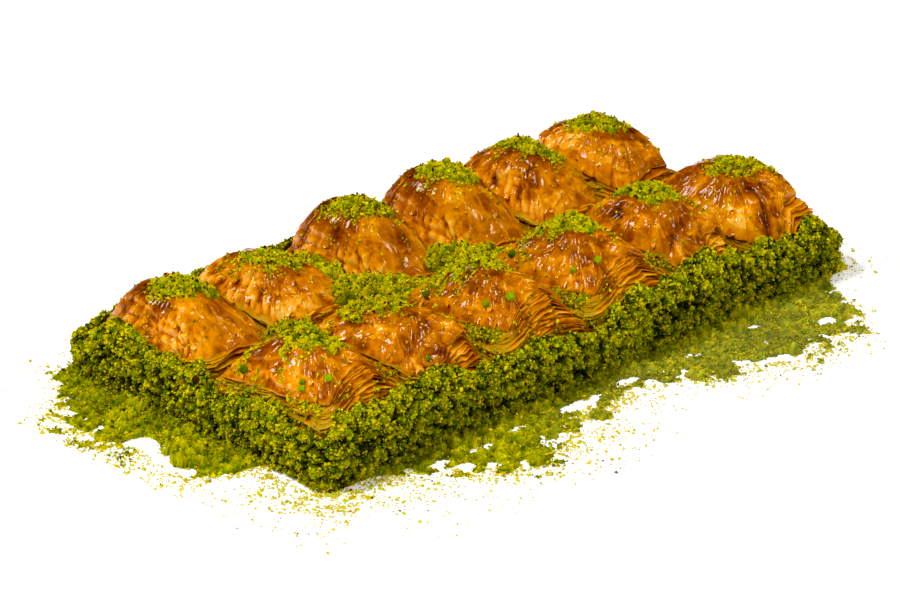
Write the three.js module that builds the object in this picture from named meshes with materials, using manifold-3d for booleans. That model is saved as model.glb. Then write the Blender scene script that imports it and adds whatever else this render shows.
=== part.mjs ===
// A block of baklava: twelve cut pieces in two rows of six, as they come out of the tray.
// Each piece is a puffed stack of thin sheets with a heap of ground pistachio on top. The
// outer sides of the block are rolled in ground pistachio, more of it has fallen into the
// cuts, and the block stands on a thin uneven bed of it.
//
// Millimetres, +Z up. X runs along the rows and Y across them, so the front row is at -Y.
// Everything is laid out round the middle of the block and then moved, so that the origin
// is under the middle of the whole, on the surface that it stands on.

import * as THREE from 'three';
import { mergeVertices } from 'three/addons/utils/BufferGeometryUtils.js';
import Module from 'manifold-3d';

const wasm = await Module();
wasm.setup();

// Knife cuts along X in each row, and the depth of a row along Y
const FRONT_CUTS = [-133, -90, -45, 0, 48, 89, 133];
const BACK_CUTS = [-133, -89, -44, 1, 46, 89, 133];
const ROW_DEPTH = 66.5;

// Clearances: between pieces that touch, and each side of a knife cut
const GAP = 0.3;
const CUT_HALF_WIDTH = 0.25;

// Thickness of the bed under the block, and the height at which the pieces stand on it
const BED_FLOOR = 0.8;
const STAND = BED_FLOOR + GAP;

// Points round one piece: along a short side, and along a long side
const SHORT_SIDE_POINTS = 6;
const LONG_SIDE_POINTS = 8;
const CORNER_SHARPNESS = 9;

// Height up to which the sides are upright. Above it the stack of sheets steps back to the
// rim: share of the way up to the rim, and share of the side's setback. Each groove lies
// under a shelf of sheets that stands out.
const SHELF_FOOT = 19;
const SHEET_STEPS = [
  [0.0, 0.0],
  [0.16, 0.36],
  [0.48, 0.26],
  [0.6, 0.8],
  [1.0, 1.0],
];

// Rings of the cap, as shares of the way out from its middle to its rim
const CAP_RINGS = [0.78, 0.46];

// Four ways in which a piece has puffed up. Heights are above the standing surface:
// rims holds those of the corners front-left, front-right, back-right and back-left;
// arch is how far the rim rises between them on the front, right, back and left side;
// setback is how far the top sheets end inside the foot of those four sides;
// fullness is high for a bulging dome and low for a peaked one.
const SHAPES = {
  sheaf: {
    rims: [22, 20, 23, 23],
    arch: [13, 3, 3, 1],
    setback: [8, 3.5, 3, 2.5],
    fullness: 2.3,
    folds: 1.0,
  },
  crown: {
    rims: [25, 22, 24, 25],
    arch: [7, 3, 3, 2],
    setback: [7, 4, 3, 3],
    fullness: 2.6,
    folds: 1.7,
  },
  puff: {
    rims: [20, 22, 22, 21],
    arch: [3, 2, 2, 2],
    setback: [4, 3.5, 4.5, 3.5],
    fullness: 3.1,
    folds: 1.2,
  },
  bun: {
    rims: [22, 23, 22, 23],
    arch: [4, 4, 3, 2],
    setback: [5, 5, 4.5, 3],
    fullness: 2.9,
    folds: 1.5,
  },
};

// One entry for each piece, from the left: its shape, the height of its dome, and its heap
// of pistachio as place from the piece's middle, size along and across, turn and height
const FRONT_ROW = [
  { shape: 'sheaf', dome: 36.5, heap: { at: [1, 2], size: [27, 22], turn: -40, height: 3.6 } },
  { shape: 'crown', dome: 35.5, heap: { at: [-5, 9], size: [24, 17], turn: -50, height: 2.6 } },
  { shape: 'sheaf', dome: 37.0, heap: { at: [-2, 6], size: [30, 20], turn: -35, height: 3.2 } },
  { shape: 'sheaf', dome: 37.5, heap: { at: [2, 3], size: [30, 21], turn: -40, height: 3.4 } },
  { shape: 'crown', dome: 37.5, heap: { at: [0, 2], size: [36, 21], turn: -45, height: 4.0 } },
  { shape: 'bun', dome: 36.0, heap: { at: [2, 3], size: [33, 20], turn: -42, height: 3.8 } },
];
const BACK_ROW = [
  { shape: 'puff', dome: 36.0, heap: { at: [-2, 1], size: [25, 20], turn: -50, height: 3.6 } },
  { shape: 'crown', dome: 33.5, heap: { at: [-4, 0], size: [28, 21], turn: -60, height: 3.0 } },
  { shape: 'puff', dome: 38.5, heap: { at: [-3, 0], size: [25, 19], turn: -50, height: 3.6 } },
  { shape: 'puff', dome: 38.5, heap: { at: [-1, 1], size: [26, 20], turn: -45, height: 3.6 } },
  { shape: 'crown', dome: 36.0, heap: { at: [2, 1], size: [30, 21], turn: -60, height: 3.0 } },
  { shape: 'bun', dome: 37.0, heap: { at: [-2, 2], size: [30, 20], turn: -55, height: 3.0 } },
];

// The coat of ground pistachio on the outer sides: its section from the foot up as shares
// of its height and of its mean thickness
const COAT_SPACING = 5;
const COAT_MEAN = 4.4;
const COAT_SWELL = 1.7;
const COAT_TOP = 21.5;
const COAT_CROWN = 3;
const COAT_SECTION = [[0, 0.7], [0.25, 0.95], [0.52, 1.05], [0.8, 0.85], [1, 0.2]];

// How far the bed runs out past the coat, at even steps round the block from its
// front-left corner: along the front, the right end, the back and the left end
const REACH_FRONT = [3, 12, 33, 17, 12, 31, 42, 32];
const REACH_RIGHT = [7, 10, 14, 9];
const REACH_BACK = [11, 15, 9, 16, 12, 8, 15, 11];
const REACH_LEFT = [8, 30, 25, 29];
const BED_MARGIN = 7;
const BED_POINTS = 110;
const BED_CORNER = 9;

// Heaps of pistachio that lie in the cuts: place, size along and across, turn, and height
// of the top above the standing surface
const CUT_HEAPS = [
  { at: [-45, 4], size: [46, 20], turn: -38, top: 26.5 },
  { at: [1, 1], size: [38, 17], turn: -40, top: 26 },
  { at: [-45, 34], size: [30, 11], turn: 90, top: 25.5 },
  { at: [-88, 3], size: [22, 13], turn: -20, top: 25 },
];
const CUT_HEAP_DEPTH = 10;

const COLOURS = {
  pastry: { color: 0xb8641a, roughness: 0.32, metalness: 0 },
  nut: { color: 0x8a9a1c, roughness: 0.85, metalness: 0 },
  bed: { color: 0x8c8f2a, roughness: 0.9, metalness: 0 },
};

// A repeatable stream of numbers from 0 to 1
function randomStream(seed) {
  let state = seed >>> 0;
  return () => {
    state = (state + 0x6d2b79f5) >>> 0;
    let mixed = Math.imul(state ^ (state >>> 15), 1 | state);
    mixed = (mixed + Math.imul(mixed ^ (mixed >>> 7), 61 | mixed)) ^ mixed;
    return ((mixed ^ (mixed >>> 14)) >>> 0) / 4294967296;
  };
}

// A smooth uneven field of a few crossed waves, mostly between -1 and 1
function unevenField(seed, wavelength) {
  const random = randomStream(seed);
  const waves = [];
  for (let n = 0; n < 5; n += 1) {
    const heading = random() * 2 * Math.PI;
    const pace = (2 * Math.PI * (0.7 + 0.6 * random())) / wavelength;
    const phase = random() * 2 * Math.PI;
    waves.push({ kx: Math.cos(heading) * pace, ky: Math.sin(heading) * pace, phase });
  }
  return (x, y) => {
    let sum = 0;
    for (const wave of waves) {
      sum += Math.sin(wave.kx * x + wave.ky * y + wave.phase);
    }
    return sum / 2.6;
  };
}

function mix(a, b, share) {
  return a + (b - a) * share;
}

// A closed geometry of equal rings laid one after the other, with a fan at each end
function ringGeometry(rings, firstMiddle, lastMiddle) {
  const count = rings[0].length;
  const points = rings.flat().concat([firstMiddle, lastMiddle]);
  const first = rings.length * count;
  const last = first + 1;
  const faces = [];
  for (let ring = 0; ring + 1 < rings.length; ring += 1) {
    for (let k = 0; k < count; k += 1) {
      const a = ring * count + k;
      const b = ring * count + ((k + 1) % count);
      // The quad is cut along alternate diagonals, so no side leans one way
      if ((ring + k) % 2 === 0) {
        faces.push([a, b, b + count], [a, b + count, a + count]);
      } else {
        faces.push([a, b, a + count], [b, b + count, a + count]);
      }
    }
  }
  const top = (rings.length - 1) * count;
  for (let k = 0; k < count; k += 1) {
    const next = (k + 1) % count;
    faces.push([first, next, k], [last, top + k, top + next]);
  }
  return facesOut(points, faces);
}

// Turns the faces outwards where the rings ran the other way round
function facesOut(points, faces) {
  let volume = 0;
  for (const [a, b, c] of faces) {
    volume += points[a].dot(new THREE.Vector3().crossVectors(points[b], points[c]));
  }
  const order = volume < 0 ? faces.map(([a, b, c]) => [a, c, b]) : faces;
  const geometry = new THREE.BufferGeometry();
  const position = points.flatMap((p) => [p.x, p.y, p.z]);
  geometry.setAttribute('position', new THREE.Float32BufferAttribute(position, 3));
  geometry.setIndex(order.flat());
  return geometry;
}

function toManifold(geometry) {
  const merged = mergeVertices(geometry, 1e-5);
  return new wasm.Manifold(new wasm.Mesh({
    numProp: 3,
    vertProperties: new Float32Array(merged.attributes.position.array),
    triVerts: new Uint32Array(merged.index.array),
  }));
}

// The largest body of a cut solid: loose scraps are dropped
function fromManifold(solid) {
  const bodies = solid.decompose();
  bodies.sort((a, b) => b.volume() - a.volume());
  const mesh = bodies[0].getMesh();
  const geometry = new THREE.BufferGeometry();
  geometry.setAttribute('position', new THREE.BufferAttribute(mesh.vertProperties, 3));
  geometry.setIndex(new THREE.BufferAttribute(mesh.triVerts, 1));
  return geometry;
}

// The outline of a piece on a square from -1 to 1: side number, place on that side, x, y
function unitOutline() {
  const points = [];
  for (let side = 0; side < 4; side += 1) {
    const steps = side % 2 === 0 ? SHORT_SIDE_POINTS : LONG_SIDE_POINTS;
    for (let k = 0; k < steps; k += 1) {
      const along = (2 * (k + 0.5)) / steps - 1;
      const grow = (Math.abs(along) ** CORNER_SHARPNESS + 1) ** (1 / CORNER_SHARPNESS);
      const angle = (side * Math.PI) / 2;
      const x = (along * Math.cos(angle) + Math.sin(angle)) / grow;
      const y = (along * Math.sin(angle) - Math.cos(angle)) / grow;
      points.push({ side, along, x, y });
    }
  }
  return points;
}

// Height of the rim at a point of the outline: from corner to corner, arched between them
function rimHeight(shape, point) {
  const from = shape.rims[point.side];
  const to = shape.rims[(point.side + 1) % 4];
  const arch = shape.arch[point.side] * (1 - point.along ** 2) ** 1.3;
  return mix(from, to, (point.along + 1) / 2) + arch;
}

// Height of a piece's cap over a place, without its folds
function capHeight(piece, x, y) {
  const shape = SHAPES[piece.shape];
  const [front, right, back, left] = shape.setback;
  const dx = x - piece.x;
  const dy = y - piece.y;
  const a = dx / (piece.width / 2 - (dx > 0 ? right : left));
  const b = dy / (ROW_DEPTH / 2 - (dy > 0 ? back : front));
  const share = Math.max(Math.abs(a), Math.abs(b), 1e-6);
  const sideways = Math.abs(a) > Math.abs(b);
  const along = (sideways ? b : a) / share;
  const point = sideways
    ? { side: a > 0 ? 1 : 3, along: a > 0 ? along : -along }
    : { side: b > 0 ? 2 : 0, along: b > 0 ? -along : along };
  return STAND + mix(piece.dome, rimHeight(shape, point), share ** shape.fullness);
}

// Share of the setback at each step of the sheets, ragged from place to place. Without
// undercuts, each step stands out at least as far as all those above it.
function stepSetbacks(piece, point, undercuts) {
  const tatter = unevenField(piece.seed + 50, 11);
  const shares = SHEET_STEPS.map(([, inward], step) => {
    const ragged = step < 1 ? 0 : 0.16 * tatter(point.x * 40 + step * 5, point.y * 60);
    return Math.max(0, inward + ragged);
  });
  if (!undercuts) {
    for (let step = shares.length - 2; step >= 0; step -= 1) {
      shares[step] = Math.min(shares[step], shares[step + 1]);
    }
  }
  return shares;
}

// One piece: a stack of sheets with stepped sides under a domed and folded cap.
// room is 0 for the piece itself, or the clearance all round that others leave it.
function pastryGeometry(piece, room = 0) {
  const shape = SHAPES[piece.shape];
  const halfX = piece.width / 2 - CUT_HALF_WIDTH;
  const halfY = ROW_DEPTH / 2 - CUT_HALF_WIDTH;
  const [front, right, back, left] = shape.setback;
  const folds = unevenField(piece.seed, 17);

  const columns = unitOutline().map((point) => {
    const rim = rimHeight(shape, point);
    const column = stepSetbacks(piece, point, room === 0).map((share, step) => {
      const x = mix(left * share - halfX - room, halfX + room - right * share, (point.x + 1) / 2);
      const y = mix(front * share - halfY - room, halfY + room - back * share, (point.y + 1) / 2);
      const z = STAND + mix(SHELF_FOOT, rim, SHEET_STEPS[step][0]) + room;
      return new THREE.Vector3(piece.x + x, piece.y + y, z);
    });
    return [column[0].clone().setZ(STAND - room), ...column];
  });
  const rings = columns[0].map((_, level) => columns.map((column) => column[level]));

  const rim = rings[rings.length - 1];
  const top = new THREE.Vector3(piece.x, piece.y, STAND + piece.dome + room);
  for (const share of CAP_RINGS) {
    rings.push(rim.map((edge) => {
      const x = mix(top.x, edge.x, share);
      const y = mix(top.y, edge.y, share);
      const fold = shape.folds * folds(x, y) * 4 * share * (1 - share);
      const z = mix(top.z, edge.z, share ** shape.fullness) + fold;
      return new THREE.Vector3(x, y, z);
    }));
  }
  const foot = new THREE.Vector3(piece.x, piece.y, STAND - room);
  return ringGeometry(rings, foot, top);
}

// A mound with an uneven outline and a clumpy top. ground gives the height that it lies on
// at a place, foot how far its rim reaches under that, and rise how far it stands above.
function moundGeometry({ x, y, ground, foot, rise, size, turn, seed }) {
  const random = randomStream(seed);
  const clumps = unevenField(seed + 7, 7);
  const around = 12;
  const angle = THREE.MathUtils.degToRad(turn);
  const stretch = Array.from({ length: around }, () => 0.86 + 0.28 * random());
  const ring = (share, lift, clump) => stretch.map((reach, k) => {
    const heading = (2 * Math.PI * k) / around;
    const along = (Math.cos(heading) * reach * share * size[0]) / 2;
    const across = (Math.sin(heading) * reach * share * size[1]) / 2;
    const px = x + along * Math.cos(angle) - across * Math.sin(angle);
    const py = y + along * Math.sin(angle) + across * Math.cos(angle);
    return new THREE.Vector3(px, py, ground(px, py) + lift + clump * clumps(px, py));
  });
  const rings = [
    ring(0.97, -foot, 0),
    ring(1, 0.2 * rise, 0.2),
    ring(0.78, 0.72 * rise, 0.5),
    ring(0.42, rise, 0.6),
  ];
  const middle = ground(x, y);
  const under = new THREE.Vector3(x, y, middle - foot);
  const over = new THREE.Vector3(x, y, middle + rise + 0.4);
  return ringGeometry(rings, under, over);
}

// The heap of ground pistachio on one piece, cut underneath to lie on its cap
function toppingGeometry(piece) {
  const { at, size, turn, height } = piece.heap;
  const mound = toManifold(moundGeometry({
    x: piece.x + at[0],
    y: piece.y + at[1],
    ground: (x, y) => capHeight(piece, x, y),
    foot: 3,
    rise: height,
    size,
    turn,
    seed: piece.seed + 300,
  }));
  return fromManifold(mound.subtract(piece.room));
}

// The coat on one outer side: a clumpy crust from the surface up to an uneven edge.
// from and to are the ends of its inner face, and outward is the way it looks.
function coatGeometry({ from, to, outward, top, lowEnd, seed }) {
  const run = new THREE.Vector3().subVectors(to, from);
  const length = run.length();
  const steps = Math.round(length / COAT_SPACING);
  const clumps = unevenField(seed, 9);
  const edge = unevenField(seed + 3, 14);
  const rings = [];
  for (let k = 0; k <= steps; k += 1) {
    const share = k / steps;
    const along = length * share;
    const base = from.clone().addScaledVector(run, share);
    const crown = COAT_CROWN * (1 - (2 * share - 1) ** 2);
    const droop = lowEnd * (1 - share) ** 4;
    const height = top + crown - droop + 1.4 * edge(along, 0);
    const at = (out, z) => base.clone().addScaledVector(outward, out).setZ(STAND + z);
    // The crust thins out towards the ends of its stretch
    const thin = 0.72 + 0.28 * Math.sqrt(Math.sin(Math.PI * share));
    const outer = COAT_SECTION.map(([level, bulge]) => {
      const swell = COAT_SWELL * clumps(along, height * level * 1.2);
      const out = (COAT_MEAN * bulge + swell * Math.min(1, 2 * bulge)) * thin;
      return at(Math.max(1, out), height * level);
    });
    rings.push([at(0, 0), ...outer, at(0, height - 0.6)]);
  }
  const inside = (at) => at.clone().addScaledVector(outward, 1.2).setZ(STAND + top / 2);
  return ringGeometry(rings, inside(from), inside(to));
}

// Reach of the bed at a place round the block, from 0 to 1, smoothly through the steps
function bedReach(share) {
  const reaches = [...REACH_FRONT, ...REACH_RIGHT, ...REACH_BACK, ...REACH_LEFT];
  const place = share * reaches.length;
  const step = Math.floor(place) % reaches.length;
  const next = (step + 1) % reaches.length;
  const ease = (1 - Math.cos(Math.PI * (place - Math.floor(place)))) / 2;
  return mix(reaches[step], reaches[next], ease);
}

// A place on the round-cornered rectangle at the foot of the coat, and the way outwards
function bedEdge(share, halfX, halfY) {
  const sides = [REACH_FRONT, REACH_RIGHT, REACH_BACK, REACH_LEFT].map((list) => list.length);
  const total = sides.reduce((sum, count) => sum + count, 0);
  let place = share * total;
  let side = 0;
  while (place >= sides[side]) {
    place -= sides[side];
    side += 1;
  }
  const along = (2 * place) / sides[side] - 1;
  const angle = (side * Math.PI) / 2;
  const [reachAlong, reachOut] = side % 2 === 0 ? [halfX, halfY] : [halfY, halfX];
  const a = along * reachAlong;
  // Near a corner the way outwards turns towards the diagonal
  const lean = Math.sign(along) * Math.max(0, (Math.abs(a) - reachAlong + 3 * BED_CORNER) / (3 * BED_CORNER));
  const turn = (lean * Math.PI) / 4;
  const local = new THREE.Vector3(a, -reachOut, 0);
  const outward = new THREE.Vector3(Math.sin(turn), -Math.cos(turn), 0);
  const axis = new THREE.Vector3(0, 0, 1);
  return { point: local.applyAxisAngle(axis, angle), outward: outward.applyAxisAngle(axis, angle) };
}

// The bed: thin and flat under the block, lumpy where it runs out on the surface
function bedGeometry() {
  const halfX = FRONT_CUTS[6] + BED_MARGIN;
  const halfY = ROW_DEPTH + BED_MARGIN;
  const lumps = unevenField(911, 15);
  const fringe = unevenField(912, 9);
  const ring = (share, rise, lump) => {
    const points = [];
    for (let k = 0; k < BED_POINTS; k += 1) {
      const around = k / BED_POINTS;
      const { point, outward } = bedEdge(around, halfX, halfY);
      const reach = bedReach(around);
      const edge = Math.max(2.2, reach + 0.08 * reach * fringe(point.x, point.y));
      point.addScaledVector(outward, share * edge);
      // A wide stretch of the bed is heaped higher than a narrow one
      const deep = Math.min(1, edge / 16);
      const lumpy = lump * deep * Math.abs(lumps(point.x, point.y));
      points.push(point.setZ(rise * mix(0.6, 1, deep) + lumpy));
    }
    return points;
  };
  const rings = [ring(1, 0, 0), ring(0.96, 0.5, 0.4), ring(0.74, 1.1, 2.2), ring(0.46, 1.4, 3.0)];
  rings.push(ring(0.18, 1.4, 2.2));
  rings.push(ring(0, 0, 0).map((point) => point.setZ(BED_FLOOR)));
  const under = new THREE.Vector3(20, 15, 0);
  const over = new THREE.Vector3(0, 0, BED_FLOOR);
  return ringGeometry(rings, under, over);
}

// Every piece of both rows with its place, its width, its own seed and its room
function layPieces() {
  const rows = [
    { name: 'f', cuts: FRONT_CUTS, list: FRONT_ROW, y: -ROW_DEPTH / 2 },
    { name: 'b', cuts: BACK_CUTS, list: BACK_ROW, y: ROW_DEPTH / 2 },
  ];
  return rows.flatMap((row, rowNumber) => row.list.map((entry, n) => {
    const piece = {
      ...entry,
      name: `${row.name}${n + 1}`,
      x: (row.cuts[n] + row.cuts[n + 1]) / 2,
      y: row.y,
      width: row.cuts[n + 1] - row.cuts[n],
      seed: 11 + 20 * rowNumber + n,
    };
    piece.room = toManifold(pastryGeometry(piece, GAP));
    return piece;
  }));
}

// The coats on the two long sides, one for each piece. The first and the last run on past
// the block's corner.
function longSideCoats(row, cuts) {
  const front = row === 'front';
  const y = (front ? -1 : 1) * (ROW_DEPTH - CUT_HALF_WIDTH + GAP);
  return cuts.slice(1).map((cut, n) => {
    const low = n === 0 ? cuts[n] - COAT_MEAN : cuts[n] + GAP / 2;
    const high = n === 5 ? cut + COAT_MEAN : cut - GAP / 2;
    return {
      name: `nut_coat_${row}_${n + 1}`,
      from: new THREE.Vector3(front ? low : high, y, 0),
      to: new THREE.Vector3(front ? high : low, y, 0),
      outward: new THREE.Vector3(0, front ? -1 : 1, 0),
      top: front ? COAT_TOP : COAT_TOP - 1.5,
      lowEnd: front ? 5 : 3,
      seed: (front ? 601 : 621) + n,
    };
  });
}

// The coats on one short side, one for each row, between those of the long sides
function shortSideCoats(side) {
  const left = side === 'left';
  const x = (left ? -1 : 1) * (FRONT_CUTS[6] - CUT_HALF_WIDTH + GAP);
  return ['front', 'back'].map((row, n) => {
    const rowSign = row === 'front' ? -1 : 1;
    const outer = new THREE.Vector3(x, rowSign * (ROW_DEPTH - CUT_HALF_WIDTH), 0);
    const inner = new THREE.Vector3(x, (rowSign * GAP) / 2, 0);
    return {
      name: `nut_coat_${side}_${row}`,
      from: outer,
      to: inner,
      outward: new THREE.Vector3(left ? -1 : 1, 0, 0),
      top: COAT_TOP,
      lowEnd: 2,
      seed: (left ? 641 : 651) + n,
    };
  });
}

// A heap in the cuts: a mound with the room of every piece near it cut away
function cutHeapGeometry(heap, pieces, seed) {
  let mound = toManifold(moundGeometry({
    x: heap.at[0],
    y: heap.at[1],
    ground: () => STAND + heap.top - 3,
    foot: CUT_HEAP_DEPTH,
    rise: 3,
    size: heap.size,
    turn: heap.turn,
    seed,
  }));
  const reach = heap.size[0] / 2;
  for (const piece of pieces) {
    if (Math.abs(piece.x - heap.at[0]) < reach + piece.width / 2) {
      mound = mound.subtract(piece.room);
    }
  }
  return fromManifold(mound);
}

function namedMesh(name, geometry, material) {
  const mesh = new THREE.Mesh(geometry, material);
  mesh.name = name;
  return mesh;
}

const materials = Object.fromEntries(
  Object.entries(COLOURS).map(([name, look]) => [name, new THREE.MeshStandardMaterial(look)]),
);

const baklava = new THREE.Group();
const pieces = layPieces();
for (const piece of pieces) {
  baklava.add(namedMesh(`pastry_${piece.name}`, pastryGeometry(piece), materials.pastry));
  baklava.add(namedMesh(`topping_${piece.name}`, toppingGeometry(piece), materials.nut));
}
const coats = [
  ...longSideCoats('front', FRONT_CUTS),
  ...longSideCoats('back', BACK_CUTS),
  ...shortSideCoats('left'),
  ...shortSideCoats('right'),
];
for (const coat of coats) {
  baklava.add(namedMesh(coat.name, coatGeometry(coat), materials.nut));
}
CUT_HEAPS.forEach((heap, n) => {
  const geometry = cutHeapGeometry(heap, pieces, 701 + n);
  baklava.add(namedMesh(`cut_heap_${n + 1}`, geometry, materials.nut));
});
baklava.add(namedMesh('pistachio_bed', bedGeometry(), materials.bed));

// The origin goes under the middle of the whole
const whole = new THREE.Box3().setFromObject(baklava, true);
const middle = whole.getCenter(new THREE.Vector3());
baklava.position.set(-middle.x, -middle.y, -whole.min.z);

export default baklava;
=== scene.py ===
"""Looks of a block of baklava: flaky pieces, ground pistachio on and round them, light, camera.

Lengths are in millimetres in the block's own frame, with its middle at 0, 0 and the floor
at height 0. They become metres in the row frame when a mesh is made.
"""

import math

import bpy
import numpy as np
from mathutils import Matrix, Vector


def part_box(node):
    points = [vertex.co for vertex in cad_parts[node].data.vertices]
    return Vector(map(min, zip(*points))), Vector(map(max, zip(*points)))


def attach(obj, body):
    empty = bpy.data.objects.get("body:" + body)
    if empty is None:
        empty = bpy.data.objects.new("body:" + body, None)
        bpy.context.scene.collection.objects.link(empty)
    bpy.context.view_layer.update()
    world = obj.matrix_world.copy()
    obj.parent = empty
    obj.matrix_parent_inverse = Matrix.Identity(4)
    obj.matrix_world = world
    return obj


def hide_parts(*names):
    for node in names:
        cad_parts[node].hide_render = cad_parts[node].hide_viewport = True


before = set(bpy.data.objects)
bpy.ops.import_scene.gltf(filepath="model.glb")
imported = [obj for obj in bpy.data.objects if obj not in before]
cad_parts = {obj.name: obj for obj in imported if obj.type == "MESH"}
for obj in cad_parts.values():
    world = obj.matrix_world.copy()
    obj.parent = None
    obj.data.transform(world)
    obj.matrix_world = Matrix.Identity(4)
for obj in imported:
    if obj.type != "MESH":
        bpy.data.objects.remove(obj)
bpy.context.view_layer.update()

MM = 0.001
TURN = 2 * math.pi

# Degrees between faces above which an edge stays sharp
SHARP_ABOVE = 50

# Height on which the pieces stand, and height at which their loose sheets begin
STAND = 1.1
SHEET_FOOT = 14.0
# Height of the bed's and the coat's underside, just off the floor
BED_FOOT = 0.02
COAT_FOOT = 0.15

# The shapes of the pieces. rims, arch, setback and fullness are those of the part: rim
# heights at the corners front-left, front-right, back-right and back-left, rise of the rim,
# setback of the top sheet and squareness of the dome on the front, right, back and left
# side. lip gives the rim's height and setback along the front, from its left end at -1 to
# its right end at 1. sheets and wave are the number of sheets in the stack and the wave of
# their edges. On the cap, fold is the width of the facets, lumps the width and height of the
# blisters, and bulge a bulge's place, width and rise. facet, pleat, crumple, blister, bubble,
# hollow and lobe are depths of its relief. tear is how far its rim is torn, nose how far the
# front-left corner stands out, rounding how much the corners of the top sheet are rounded,
# and bake how much darker than the others the cap is.
SHAPES = {
    "sheaf": dict(
        seed=100, rims=(25.5, 18, 18, 21), arch=(13, 2, 2, 1), setback=(8, 6.5, 6, 3.5),
        fullness=(1.9, 2.0, 2.0, 1.8),
        lip=((-1, 25.5, 2), (-0.8, 27.5, 4), (-0.5, 31, 8), (0, 33, 13), (0.5, 33.5, 15),
             (0.8, 30.5, 12), (1, 24, 7)),
        sheets=20, wave=0.6, facet=1.0, fold=13, pleat=0.05, crumple=0.12, blister=0.1,
        lumps=(4.4, 5.4), bubble=0.3, tear=0.4, bulge=(-9.5, -12, 6, 0.5), nose=4.2,
        bake=0.02,
    ),
    "crown": dict(
        seed=190, rims=(24, 18, 20, 23), arch=(7, 2, 2, 2), setback=(7, 6.5, 5.5, 3),
        fullness=(2.4, 2.3, 2.8, 2.8),
        lip=((-1, 24, 4), (-0.5, 24, 6), (-0.1, 26, 7), (0.3, 30, 10), (0.6, 31, 11), (1, 20, 7)),
        sheets=16, wave=1.1, facet=1.1, fold=12, pleat=0.24, crumple=0.3, blister=0.25,
        lumps=(4.4, 5.4), bubble=0.5, tear=0.5, bulge=(9, -20, 5, 1.2),
        hollow=1.0, rounding=0.08, bake=0.0,
    ),
    "puff": dict(
        seed=460, rims=(20, 20, 20, 17), arch=(3, 2, 2, 2), setback=(4, 2.5, 4.5, 3),
        fullness=(2.1, 1.9, 3.0, 2.7),
        lip=((-1, 20, 4), (0, 23, 5), (1, 18, 6)),
        sheets=12, wave=0.5, facet=0.5, fold=8, pleat=0.16, crumple=0.15, blister=1.1,
        lumps=(4.9, 4.8), bubble=0.3, tear=0.3, bulge=(-8.6, -12.2, 5.6, 2.2),
        rounding=0.26, bake=-0.01,
    ),
    "ruffle": dict(
        seed=520, rims=(19, 18, 19, 20), arch=(4, 2, 2, 3), setback=(5, 3.5, 4.5, 2.2),
        fullness=(1.9, 1.8, 2.8, 2.9),
        lip=((-1, 19, 4), (-0.3, 24, 6), (0.3, 23, 7), (1, 18, 7)),
        sheets=12, wave=0.7, facet=0.6, fold=9, pleat=0.36, crumple=0.2, blister=1.0,
        lumps=(4.3, 9.5), bubble=0.4, tear=0.4, bulge=(-9, -12, 5, 0.6),
        rounding=0.2, bake=-0.02,
    ),
    "bun": dict(
        seed=700, rims=(20, 27, 22, 19), arch=(4, 3, 3, 2), setback=(5, 4.5, 4, 2.5),
        fullness=(2.8, 4.3, 3.2, 2.5),
        lip=((-1, 20, 4), (-0.3, 20, 4), (0, 22, 6), (0.3, 29, 12), (0.8, 30, 12), (1, 28, 10)),
        sheets=12, wave=0.5, facet=0.8, fold=13, pleat=0.12, crumple=0.3, blister=0.3,
        lumps=(5.0, 8.0), bubble=0.6, tear=0.5, bulge=(-17, -20, 6.5, 2.0),
        lobe=1.0, rounding=0.16, bake=0.06,
    ),
    "loaf": dict(
        seed=760, rims=(22, 20, 18, 24), arch=(4, 3, 3, 2), setback=(5, 8.5, 5.5, 2),
        fullness=(2.6, 2.2, 3.1, 3.2),
        lip=((-1, 22, 5), (-0.4, 25, 6), (0.3, 26, 9), (0.7, 25, 9), (1, 20, 8)),
        sheets=12, wave=0.8, facet=0.55, fold=14, pleat=0.1, crumple=0.3, blister=0.15,
        lumps=(5.0, 8.0), bubble=0.6, tear=0.5, bulge=(-15, -12, 5.5, 1.4),
        rounding=0.22, bake=0.02,
    ),
}

# What a shape above has none of, unless it names it
ABSENT = dict(nose=0.0, hollow=0.0, lobe=0.0, rounding=0.0)

# Each piece: its shape and the height of its dome, and its heap of pistachio as place from
# the piece's middle, size along and across, turn in degrees, and height
PIECES = {
    "f1": ("sheaf", 38.5, (1, -1), (27, 20), -40, 4.2),
    "f2": ("crown", 35.5, (-5, 9), (25, 18), -50, 3.0),
    "f3": ("sheaf", 38.0, (-2, 6), (30, 20), -35, 3.8),
    "f4": ("sheaf", 40.0, (2, 4), (31, 21), -40, 4.2),
    "f5": ("crown", 38.5, (5, 1), (38, 22), -45, 4.8),
    "f6": ("bun", 37.0, (6, 1), (32, 21), -42, 3.3),
    "b1": ("puff", 36.5, (-2, 1), (25, 20), -50, 3.8),
    "b2": ("ruffle", 33.5, (-3, 1), (30, 20), -60, 3.4),
    "b3": ("puff", 42.0, (-3, 0), (24, 18), -50, 3.8),
    "b4": ("puff", 42.0, (-1, 1), (25, 19), -45, 3.8),
    "b5": ("ruffle", 38.5, (2, 1), (34, 21), -60, 3.8),
    "b6": ("loaf", 37.0, (-3, 2), (31, 21), -55, 3.6),
}

# Heaps in the cuts: place, size along and across, turn in degrees, height of the top
CUT_HEAPS = (
    ((-45, 4), (46, 20), -38, 26.5),
    ((1, 1), (38, 17), -40, 26.0),
    ((-45, 34), (30, 11), 90, 25.5),
    ((-87, 3), (19, 11), -20, 23.0),
)

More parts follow.
